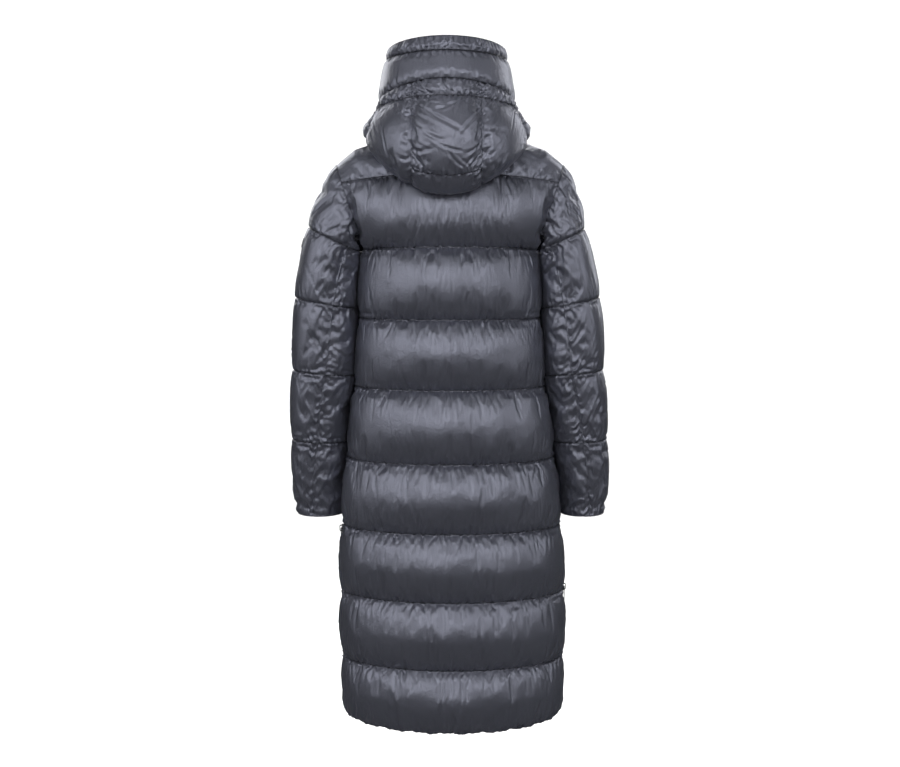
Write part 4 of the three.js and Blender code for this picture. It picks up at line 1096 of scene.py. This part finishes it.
def panel_mesh(panel):
    net, inside = panel["outside"], panel["inside"]
    rows, columns = net.shape[:2]
    rim = rim_order(rows, columns)
    outer, inner = net.reshape(-1, 3), inside.reshape(-1, 3)
    tuck = LINING_TUCK * (1 - np.exp(-panel["from_line"] / TUCK_REACH))
    tucked = inside - unit(net - inside) * tuck[..., None]
    coarse = [(r, c) for r in range(4, rows - 1, 4) for c in range(4, columns - 1, 4)]
    rings = [0.5 * outer[rim] + 0.5 * inner[rim] + panel["pull"], inner[rim] + panel["pull"]]
    vertices = np.concatenate([outer, *rings, np.array([tucked[rc] for rc in coarse])])
    count, around = rows * columns, len(rim)
    rim_at = {divmod(int(i), columns): count + around + k for k, i in enumerate(rim)}
    inner_at = {rc: count + 2 * around + k for k, rc in enumerate(coarse)}
    faces = net_faces(rows, columns).tolist()
    stack = [rim, count + np.arange(around), count + around + np.arange(around)]
    for a, b in zip(stack, stack[1:]):
        faces += np.stack([b, a, np.roll(a, -1), np.roll(b, -1)], 1).tolist()
    shell_faces = len(faces)
    faces += [face[::-1] for face in lining_faces(rows, columns, rim_at, inner_at)]
    if faces_inward(panel):
        faces = [face[::-1] for face in faces]
    mesh = bpy.data.meshes.new(panel["name"])
    mesh.from_pydata((vertices * MM).tolist(), [], faces)
    index = np.array([0] * shell_faces + [1] * (len(faces) - shell_faces), np.int32)
    mesh.polygons.foreach_set("material_index", index)
    mesh.shade_smooth()
    corner = np.empty(len(mesh.loops), np.int32)
    mesh.loops.foreach_get("vertex_index", corner)
    at = np.array([r * columns + c for r, c in coarse], int)
    for name, second in (("cloth", panel["v"]), ("seam", panel["from_line"])):
        place = np.stack([panel["u"].ravel(), second.ravel()], 1) * MM
        place = np.concatenate([place, place[rim], place[rim], place[at]]).astype(np.float32)
        mesh.uv_layers.new(name=name).data.foreach_set("uv", place[corner].ravel())
    return mesh


print("the back will have", panels[0]["outside"].shape[0] * panels[0]["outside"].shape[1], "points outside")

# %% [markdown]
# ## Finishes
# The shell is a tight slate-grey nylon with a wet-looking shine. Up close it has a fine weave, and
# it is covered in small soft crinkles, which catch the light more than the colour does. One node
# group makes weave, crinkles, gathers beside the seams and faint wear for every cloth of the coat,
# and it paints shade into the colour along every stitch line, darkest on the seam itself. Another
# gives the teeth, the sliders, the pulls and the patch their small scratches.


# %% Helpers that place nodes
SOCKET_KINDS = {"vector": "NodeSocketVector", "colour": "NodeSocketColor", "value": "NodeSocketFloat"}


def new_group(name, inputs, outputs):
    group = bpy.data.node_groups.new(name, "ShaderNodeTree")
    for way, sockets in (("INPUT", inputs), ("OUTPUT", outputs)):
        for label, kind in sockets.items():
            group.interface.new_socket(name=label, in_out=way, socket_type=SOCKET_KINDS[kind])
    return group, group.nodes.new("NodeGroupInput").outputs, group.nodes.new("NodeGroupOutput").inputs


def add_node(tree, kind, inputs, output=0, **settings):
    """Place a node, and give each of its inputs a value or another node's output."""
    node = tree.nodes.new(kind)
    for setting, value in settings.items():
        setattr(node, setting, value)
    for place, value in inputs.items():
        if isinstance(value, bpy.types.NodeSocket):
            tree.links.new(value, node.inputs[place])
        else:
            node.inputs[place].default_value = value
    return node.outputs[output]


def mixed(tree, share, first, second):
    return add_node(tree, "ShaderNodeMix", {0: share, 6: first, 7: second}, 2, data_type="RGBA")


print("kinds of sockets:", list(SOCKET_KINDS))

# %% A node group for all the cloth
GATHERS = ((190.0, 26.0, 1.3), (85.0, 11.0, 0.9))
GATHERS_FADE, GATHERS_FAR = -60.0, 0.22
# Painted shade along the stitch lines: how much darker the colour is on a seam, and how fast that fades.
SEAM_PAINTED_SHADE, SEAM_PAINTED_SHADE_FADE = 0.78, -450.0
WEAR_SCALE, WEAR_SHARE = 9.0, 0.5
SMOOTHEST, ROUGHER_BY = 0.31, 0.1


def cloth_group():
    group, source, target = new_group(
        "crinkled_nylon",
        {"Cloth map": "vector", "Seam map": "vector", "Place": "vector", "Colour": "colour",
         "Worn colour": "colour", "Thread pitch": "value", "Crinkle size": "value"},
        {"Colour": "colour", "Roughness": "value", "Crinkles": "value", "Weave": "value"},
    )
    link = group.links.new

    def maths(kind, *values):
        return add_node(group, "ShaderNodeMath", dict(enumerate(values)), operation=kind)

    def noise(vector, scale, detail, roughness=0.5, distortion=0.0):
        return add_node(group, "ShaderNodeTexNoise", {"Vector": vector, "Scale": scale, "Detail": detail,
                                                      "Roughness": roughness, "Distortion": distortion}, "Fac")

    def fading(rate):
        return maths("POWER", 2.718, maths("MULTIPLY", from_line, rate))

    def waves(way):
        return maths("SINE", maths("MULTIPLY", way, turn))

    split = add_node(group, "ShaderNodeSeparateXYZ", {0: source["Seam map"]}).node.outputs
    along, from_line = split[0], split[1]
    folded = noise(source["Place"], maths("DIVIDE", 1.0, source["Crinkle size"]), 3, 0.55, 0.6)
    height = maths("MULTIPLY", maths("ABSOLUTE", maths("SUBTRACT", folded, 0.5)), -1.0)
    for fine, long, share in GATHERS:
        stretched = add_node(group, "ShaderNodeCombineXYZ",
                             {0: maths("MULTIPLY", along, fine), 1: maths("MULTIPLY", from_line, long)})
        strength = maths("ADD", maths("MULTIPLY", fading(GATHERS_FADE), share), GATHERS_FAR * share)
        height = maths("ADD", height, maths("MULTIPLY", noise(stretched, 1.0, 2, 0.5, 0.2), strength))
    threads = add_node(group, "ShaderNodeSeparateXYZ", {0: source["Cloth map"]}).node.outputs
    turn = maths("DIVIDE", 6.2832, source["Thread pitch"])
    patches = noise(source["Place"], WEAR_SCALE, 2)
    worn = mixed(group, maths("MULTIPLY", patches, WEAR_SHARE), source["Colour"], source["Worn colour"])
    # Painted shade: the colour is darkened towards every stitch line, most of all on the seam, where the groove
    # lies in shadow.
    painted_seam_shade = maths("SUBTRACT", 1.0, maths("MULTIPLY", fading(SEAM_PAINTED_SHADE_FADE), SEAM_PAINTED_SHADE))
    link(add_node(group, "ShaderNodeVectorMath", {0: worn, "Scale": painted_seam_shade}, operation="SCALE"), target["Colour"])
    link(maths("ADD", SMOOTHEST, maths("MULTIPLY", patches, ROUGHER_BY)), target["Roughness"])
    link(height, target["Crinkles"])
    link(maths("MULTIPLY", waves(threads[0]), waves(threads[1])), target["Weave"])
    return group


nylon = cloth_group()
print("cloth group:", len(nylon.nodes), "nodes")

# %% A node group for the hard pieces
SCRATCH_SCALE, RUBBED_SCALE = 900.0, 160.0
SMOOTH, ROUGH = 0.26, 0.5


def hard_group():
    group, source, target = new_group(
        "handled_surface",
        {"Place": "vector", "Colour": "colour", "Rubbed colour": "colour"},
        {"Colour": "colour", "Roughness": "value", "Scratches": "value"},
    )
    link, place = group.links.new, source["Place"]
    fine = {"Vector": place, "Scale": SCRATCH_SCALE, "Detail": 4.0}
    rubbed = add_node(group, "ShaderNodeTexNoise", {"Vector": place, "Scale": RUBBED_SCALE}, "Fac")
    link(mixed(group, rubbed, source["Colour"], source["Rubbed colour"]), target["Colour"])
    spread = {"Value": rubbed, "To Min": SMOOTH, "To Max": ROUGH}
    link(add_node(group, "ShaderNodeMapRange", spread), target["Roughness"])
    link(add_node(group, "ShaderNodeTexNoise", fine, "Fac"), target["Scratches"])
    return group


handled = hard_group()
print("group for the hard pieces:", len(handled.nodes), "nodes")


# %% A material round a node group
SCRATCH_DEPTH = 0.00004


def finish(name, group, values, maps, bumps, shader_values):
    """Feed a shader from a group; bumps says how deep each of the group's reliefs is, in metres."""
    material = bpy.data.materials.new(name)
    material.use_nodes = True
    tree = material.node_tree
    shader = tree.nodes["Principled BSDF"]
    effects = tree.nodes.new("ShaderNodeGroup")
    effects.node_tree = group
    for label, value in values.items():
        effects.inputs[label].default_value = value
    for label, map_name in maps.items():
        tree.links.new(add_node(tree, "ShaderNodeUVMap", {}, uv_map=map_name), effects.inputs[label])
    tree.links.new(add_node(tree, "ShaderNodeTexCoord", {}, "Object"), effects.inputs["Place"])
    tree.links.new(effects.outputs["Colour"], shader.inputs["Base Color"])
    tree.links.new(effects.outputs["Roughness"], shader.inputs["Roughness"])
    under = {}
    for relief, depth in bumps.items():
        inputs = {"Height": effects.outputs[relief], "Distance": depth, "Strength": 1.0}
        under = {"Normal": add_node(tree, "ShaderNodeBump", inputs | under)}
    tree.links.new(under["Normal"], shader.inputs["Normal"])
    for label, value in shader_values.items():
        shader.inputs[label].default_value = value
    return material


def hard_finish(name, colour, rubbed, metallic):
    return finish(name, handled, {"Colour": (*colour, 1), "Rubbed colour": (*rubbed, 1)}, {},
                  {"Scratches": SCRATCH_DEPTH}, {"Metallic": metallic})


teeth_finish = hard_finish("moulded_teeth", (0.02, 0.021, 0.026), (0.035, 0.036, 0.042), metallic=0.0)
slider_finish = hard_finish("dark_slider", (0.02, 0.021, 0.025), (0.05, 0.05, 0.056), metallic=0.6)
patch_finish = hard_finish("plain_patch", (0.03, 0.031, 0.038), (0.045, 0.046, 0.055), metallic=0.0)
print("hard finishes:", teeth_finish.name, slider_finish.name, patch_finish.name)

# %% [markdown]
# ## Four cloths
# Thin coated nylon shines like a dull metal, and its slate tint shows in the shine itself, so the
# shell is made nearly metallic. The lining, the tapes and the thread are cloths of the same kind,
# but dull. The crinkles and threads are bump, because they are finer than the nets' points.


# %% Shell, lining, tape and thread
def cloth_finish(name, colour, worn, pitch, crinkle_size, crinkle_depth, weave_depth, sheen, metallic):
    values = {"Colour": (*colour, 1), "Worn colour": (*worn, 1)}
    values |= {"Thread pitch": pitch, "Crinkle size": crinkle_size}
    return finish(name, nylon, values, {"Cloth map": "cloth", "Seam map": "seam"},
                  {"Crinkles": crinkle_depth, "Weave": weave_depth},
                  {"Sheen Weight": sheen, "Sheen Roughness": 0.4, "Metallic": metallic})


shell_cloth = cloth_finish("slate_nylon", (0.15, 0.156, 0.193), (0.185, 0.191, 0.23), pitch=0.0007,
                           crinkle_size=0.009, crinkle_depth=0.0008, weave_depth=0.00002, sheen=0.0, metallic=0.88)
lining_cloth = cloth_finish("lining_nylon", (0.03, 0.032, 0.04), (0.04, 0.042, 0.052), pitch=0.0007,
                            crinkle_size=0.02, crinkle_depth=0.0008, weave_depth=0.00002, sheen=0.1, metallic=0.1)
tape_cloth = cloth_finish("zip_tape", (0.012, 0.013, 0.016), (0.02, 0.021, 0.025), pitch=0.0009,
                          crinkle_size=0.01, crinkle_depth=0.0001, weave_depth=0.0001, sheen=0.2, metallic=0.0)
thread_cloth = cloth_finish("quilting_thread", (0.016, 0.017, 0.022), (0.024, 0.026, 0.032), pitch=0.0004,
                            crinkle_size=0.002, crinkle_depth=0.00005, weave_depth=0.00005, sheen=0.2, metallic=0.0)
print("cloths:", shell_cloth.name, lining_cloth.name, tape_cloth.name, thread_cloth.name)

# %% [markdown]
# ## Dress the coat
# Each closed panel stands for one CAD wall, which is hidden where the panel is shown.


def show(name, mesh, materials):
    piece = bpy.data.objects.new(name, mesh)
    for material in materials:
        mesh.materials.append(material)
    bpy.context.scene.collection.objects.link(piece)
    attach(piece, COAT)
    return piece


for panel in panels:
    piece = show(panel["name"], panel_mesh(panel), [shell_cloth, lining_cloth])
    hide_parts(panel["node"])
print("showing", len(panels), "panels")

# %% [markdown]
# ## Stitches
# The quilting lines are sewn with a thread that lies on the cloth. One stitch is a short, thin,
# slightly arched thread whose two ends dive into the cloth. All the stitches of a panel are made in
# one step as a single mesh, because they are only copies of one form along a line.

# %% Sew along the quilting lines
STITCH_PITCH, STITCH_LENGTH, THREAD_RADIUS, SEW_FROM = 4.0, 3.1, 0.33, 6
STITCH_RINGS = ((0.0, -0.3, 0.5), (0.2, 0.35, 1.0), (0.5, 0.5, 1.0), (0.8, 0.35, 1.0), (1.0, -0.3, 0.5))
THREAD_SIDES = 4


def line_lengths(line):
    step = np.linalg.norm(np.diff(line, axis=0), axis=-1)
    return np.concatenate([[0], np.cumsum(step)])


def read_along(line, field, at):
    """Read a field, known at each point of a line, at some lengths along that line."""
    length = line_lengths(line)
    return np.stack([np.interp(at, length, field[:, k]) for k in range(3)], -1)


def stitches(line, normals):
    total = line_lengths(line)[-1]
    starts = np.arange(SEW_FROM, total - SEW_FROM - STITCH_LENGTH, STITCH_PITCH)
    heads = read_along(line, line, starts)
    tails = read_along(line, line, starts + STITCH_LENGTH)
    out = unit(read_along(line, normals, starts))
    across = unit(np.cross(unit(tails - heads), out))
    rings = []
    for place, height, girth in STITCH_RINGS:
        middle = heads * (1 - place) + tails * place + out * height
        for k in range(THREAD_SIDES):
            turn = 2 * math.pi * (k + 0.5) / THREAD_SIDES
            rings.append(middle + THREAD_RADIUS * girth * (math.cos(turn) * across + math.sin(turn) * out))
    return np.stack(rings, 1)


def stitch_mesh(name, panel, lines):
    normals = net_normals(panel["outside"], panel["inside"])
    made = np.concatenate([stitches(panel["outside"][line], normals[line]) for line in lines])
    per = len(STITCH_RINGS) * THREAD_SIDES
    base = (np.arange(len(made)) * per)[:, None, None]
    quads = []
    for r in range(len(STITCH_RINGS) - 1):
        for k in range(THREAD_SIDES):
            a, b = r * THREAD_SIDES + k, r * THREAD_SIDES + (k + 1) % THREAD_SIDES
            quads.append((a, b, b + THREAD_SIDES, a + THREAD_SIDES))
    last = per - THREAD_SIDES
    quads += [(3, 2, 1, 0), (last, last + 1, last + 2, last + 3)]
    faces = (base + np.array(quads)[None]).reshape(-1, 4)
    mesh = bpy.data.meshes.new(name)
    mesh.from_pydata((made.reshape(-1, 3) * MM).tolist(), [], faces.tolist())
    mesh.shade_smooth()
    return mesh, len(made)


sewn = 0
for panel in panels:
    if len(panel["lines"]) > 2:
        mesh, count = stitch_mesh(panel["name"].replace("cloth", "stitches"), panel, panel["lines"][1:-1])
        show(mesh.name, mesh, [thread_cloth])
        sewn += count
print("sewn", sewn, "stitches")

# %% [markdown]
# ## Zips
# A zip is two woven tapes with a row of moulded teeth on each, which lock between one another.
# The tape is a thin strip swept along the zip's path. The teeth are one form, copied along both
# tapes with half a step between them.

# %% The zips' paths
PATH_STEP = 8.0
VENT_ZIP_TOP, COLLAR_TOP = -740, 9.88


def front_path():
    climbs = np.concatenate([np.linspace(HEM, ARMPIT, 100), np.linspace(ARMPIT, climb_of(NECK_FRONT), 20)[1:]])
    body = body_point(False, climbs, np.zeros_like(climbs))
    body = lean(points(0, body[..., 1], body[..., 2]))
    level = np.linspace(0.5, COLLAR_TOP, 26)
    collar = hood_point(level, np.full_like(level, 180.0))
    collar = points(hood_shift(level), collar[..., 1], collar[..., 2])
    return np.concatenate([body, collar])


def side_path(sign):
    z = np.linspace(HEM + HEM_CORNER, VENT_ZIP_TOP, 60)
    return lean(points(sign * look_up(TORSO, z)["side"], 0, z))


def smooth_path(path):
    for _ in range(3):
        path = np.concatenate([path[:1], (path[:-2] + 2 * path[1:-1] + path[2:]) / 4, path[-1:]])
    total = line_lengths(path)[-1]
    return read_along(path, path, np.linspace(0, total, int(total / PATH_STEP)))


print("front zip:", line_lengths(front_path())[-1].round(), "mm")
print("side zips:", line_lengths(side_path(1))[-1].round(), "mm")

# %% Sweep a tape's section along a path
TAPE_LOW, TAPE_TOP, TAPE_EDGE, CORD_RISE = 1.3, 2.1, 0.3, 0.5


def strip_frame(path, way_out):
    along = unit(np.gradient(path, axis=0))
    across = unit(np.cross(along, np.broadcast_to(way_out, along.shape)))
    return along, across, unit(np.cross(across, along))


def tape_section(half_width):
    """Give one tape's outline: a flat strip with a raised cord that holds the teeth."""
    return [(0.9, TAPE_LOW + TAPE_EDGE), (half_width, TAPE_LOW), (half_width, TAPE_TOP - TAPE_EDGE),
            (half_width - 0.8, TAPE_TOP), (3.1, TAPE_TOP), (2.8, TAPE_TOP + CORD_RISE),
            (1.2, TAPE_TOP + CORD_RISE), (0.9, TAPE_TOP)]


def swept(path, directions, profile):
    _, across, out = directions
    ring = [path + across * x + out * h for x, h in profile]
    vertices = np.stack(ring, 1).reshape(-1, 3)
    n, rows = len(profile), len(path)
    faces = []
    for r in range(rows - 1):
        for k in range(n):
            a, b = r * n + k, r * n + (k + 1) % n
            faces.append((a, b, b + n, a + n))
    faces += [tuple(range(n))[::-1], tuple((rows - 1) * n + k for k in range(n))]
    return vertices, faces


def joined_mesh(name, parts):
    vertices, faces, start = [], [], 0
    for points_of, faces_of in parts:
        vertices.append(points_of)
        faces += [tuple(i + start for i in face) for face in faces_of]
        start += len(points_of)
    mesh = bpy.data.meshes.new(name)
    mesh.from_pydata((np.concatenate(vertices) * MM).tolist(), [], faces)
    return mesh


print("a tape's section has", len(tape_section(5)), "corners")

# %% Copy the teeth along both tapes
TOOTH_PITCH, FIRST_TOOTH = 3.0, 2.0
FRONT_TAPE, SIDE_TAPE = 7.9, 4.7
TOOTH = np.array([
    (-2.6, -0.55, 1.4), (0.95, -0.8, 1.4), (0.95, 0.8, 1.4), (-2.6, 0.55, 1.4),
    (-2.6, -0.55, 3.2), (0.95, -0.8, 3.2), (0.95, 0.8, 3.2), (-2.6, 0.55, 3.2),
    (-2.2, -0.35, 3.75), (0.6, -0.5, 3.75), (0.6, 0.5, 3.75), (-2.2, 0.35, 3.75),
])
TOOTH_FACES = [(3, 2, 1, 0), (0, 1, 5, 4), (1, 2, 6, 5), (2, 3, 7, 6), (3, 0, 4, 7),
               (4, 5, 9, 8), (5, 6, 10, 9), (6, 7, 11, 10), (7, 4, 8, 11), (8, 9, 10, 11)]


def teeth(path, directions, sign, first):
    at = np.arange(first, line_lengths(path)[-1] - FIRST_TOOTH, TOOTH_PITCH)
    along, across, out = (unit(read_along(path, field, at)) for field in directions)
    middle = read_along(path, path, at)
    parts = []
    for k in range(len(at)):
        shaped = middle[k] + sign * TOOTH[:, :1] * across[k] + TOOTH[:, 1:2] * along[k] + TOOTH[:, 2:] * out[k]
        parts.append((shaped, TOOTH_FACES if sign > 0 else [face[::-1] for face in TOOTH_FACES]))
    return parts


def zip_pieces(name, node, path, way_out, half_width):
    path = smooth_path(path)
    directions = strip_frame(path, way_out)
    tapes, tooth_parts = [], []
    for sign, first in ((1, FIRST_TOOTH), (-1, FIRST_TOOTH + TOOTH_PITCH / 2)):
        section = [(sign * x, height) for x, height in tape_section(half_width)]
        tapes.append(swept(path, directions, section[::sign]))
        tooth_parts += teeth(path, directions, sign, first)
    tape = show(name + "_tapes", joined_mesh(name + "_tapes", tapes), [tape_cloth])
    row = show(name + "_teeth", joined_mesh(name + "_teeth", tooth_parts), [teeth_finish])
    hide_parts(node)
    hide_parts(node)
    return len(tooth_parts)


print("front zip:", zip_pieces("front_zip", "front_zip", front_path(), (0, -1, 0), FRONT_TAPE), "teeth")
for side, sign in (("left", 1), ("right", -1)):
    count = zip_pieces(f"{side}_vent_zip", f"side_zip_{side}", side_path(sign), (sign, 0, 0), SIDE_TAPE)
    print(side, "vent zip:", count, "teeth")

# %% [markdown]
# ## The patch on the sleeve
# A small plain patch is sewn to the outside of the left sleeve. It is stiffer than the cloth, so it
# lies over the small creases. It is taken from the sleeve's own points, smoothed and moved out.

# %% Lay the patch on the cloth
PATCH_TALL, PATCH_WIDE, PATCH_THICK, PATCH_SINK = 26.0, 20.0, 1.1, 0.1
EDGE_THINNING, LIFT_SHARE, LEAST_LIFT = 0.55, 0.6, 0.25


def patch_mesh():
    panel = next(p for p in panels if p["name"] == "sleeve_upper_cloth_left")
    net = panel["outside"]
    low, high = (np.array(corner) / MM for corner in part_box("sleeve_patch"))
    r, c = np.unravel_index(np.argmin(np.linalg.norm(net - (low + high) / 2, axis=-1)), net.shape[:2])
    tall = int(PATCH_TALL / 2 / np.linalg.norm(net[r + 1, c] - net[r, c]))
    wide = int(PATCH_WIDE / 2 / np.linalg.norm(net[r, c + 1] - net[r, c]))
    part = net[r - tall : r + tall + 1, c - wide : c + wide + 1].copy()
    out = net_normals(net, panel["inside"])[r - tall : r + tall + 1, c - wide : c + wide + 1]
    smooth = np.stack([blurred(part[..., k], 5) for k in range(3)], -1)
    out = unit(np.stack([blurred(out[..., k], 8) for k in range(3)], -1))
    lift = max(0.0, float(((part - smooth) * out).sum(-1).max())) * LIFT_SHARE + LEAST_LIFT
    rows, columns = part.shape[:2]
    t, s = np.linspace(-1, 1, rows)[:, None], np.linspace(-1, 1, columns)[None, :]
    edge = np.maximum(np.abs(t) ** 6, np.abs(s) ** 6)
    top = smooth + out * (lift + PATCH_THICK * (1 - EDGE_THINNING * edge))[..., None]
    back = smooth + out * (lift * (1 - edge) - PATCH_SINK)[..., None]
    rim = rim_order(rows, columns)
    count = rows * columns
    faces = net_faces(rows, columns).tolist()
    faces += [face[::-1] for face in (net_faces(rows, columns) + count).tolist()]
    faces += np.stack([rim + count, rim, np.roll(rim, -1), np.roll(rim, -1) + count], 1).tolist()
    if faces_inward(panel):
        faces = [face[::-1] for face in faces]
    mesh = bpy.data.meshes.new("plain_patch")
    mesh.from_pydata((np.concatenate([top.reshape(-1, 3), back.reshape(-1, 3)]) * MM).tolist(), [], faces)
    mesh.shade_smooth()
    return mesh


patch = show("plain_patch", patch_mesh(), [patch_finish])
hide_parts("sleeve_patch")
print("patch laid on the left sleeve")

# %% [markdown]
# ## Sliders and pulls
# Each slider and its pull are cast metal with a dark finish. Their CAD forms are right as they
# are, with the window in the pull and the bridge it hangs on, so they only get the finish.

# %% Finish the hard pieces
for name, node in nodes.items():
    if "slider" in name or "pull" in name:
        for material_slot in node.material_slots:
            material_slot.material = slider_finish
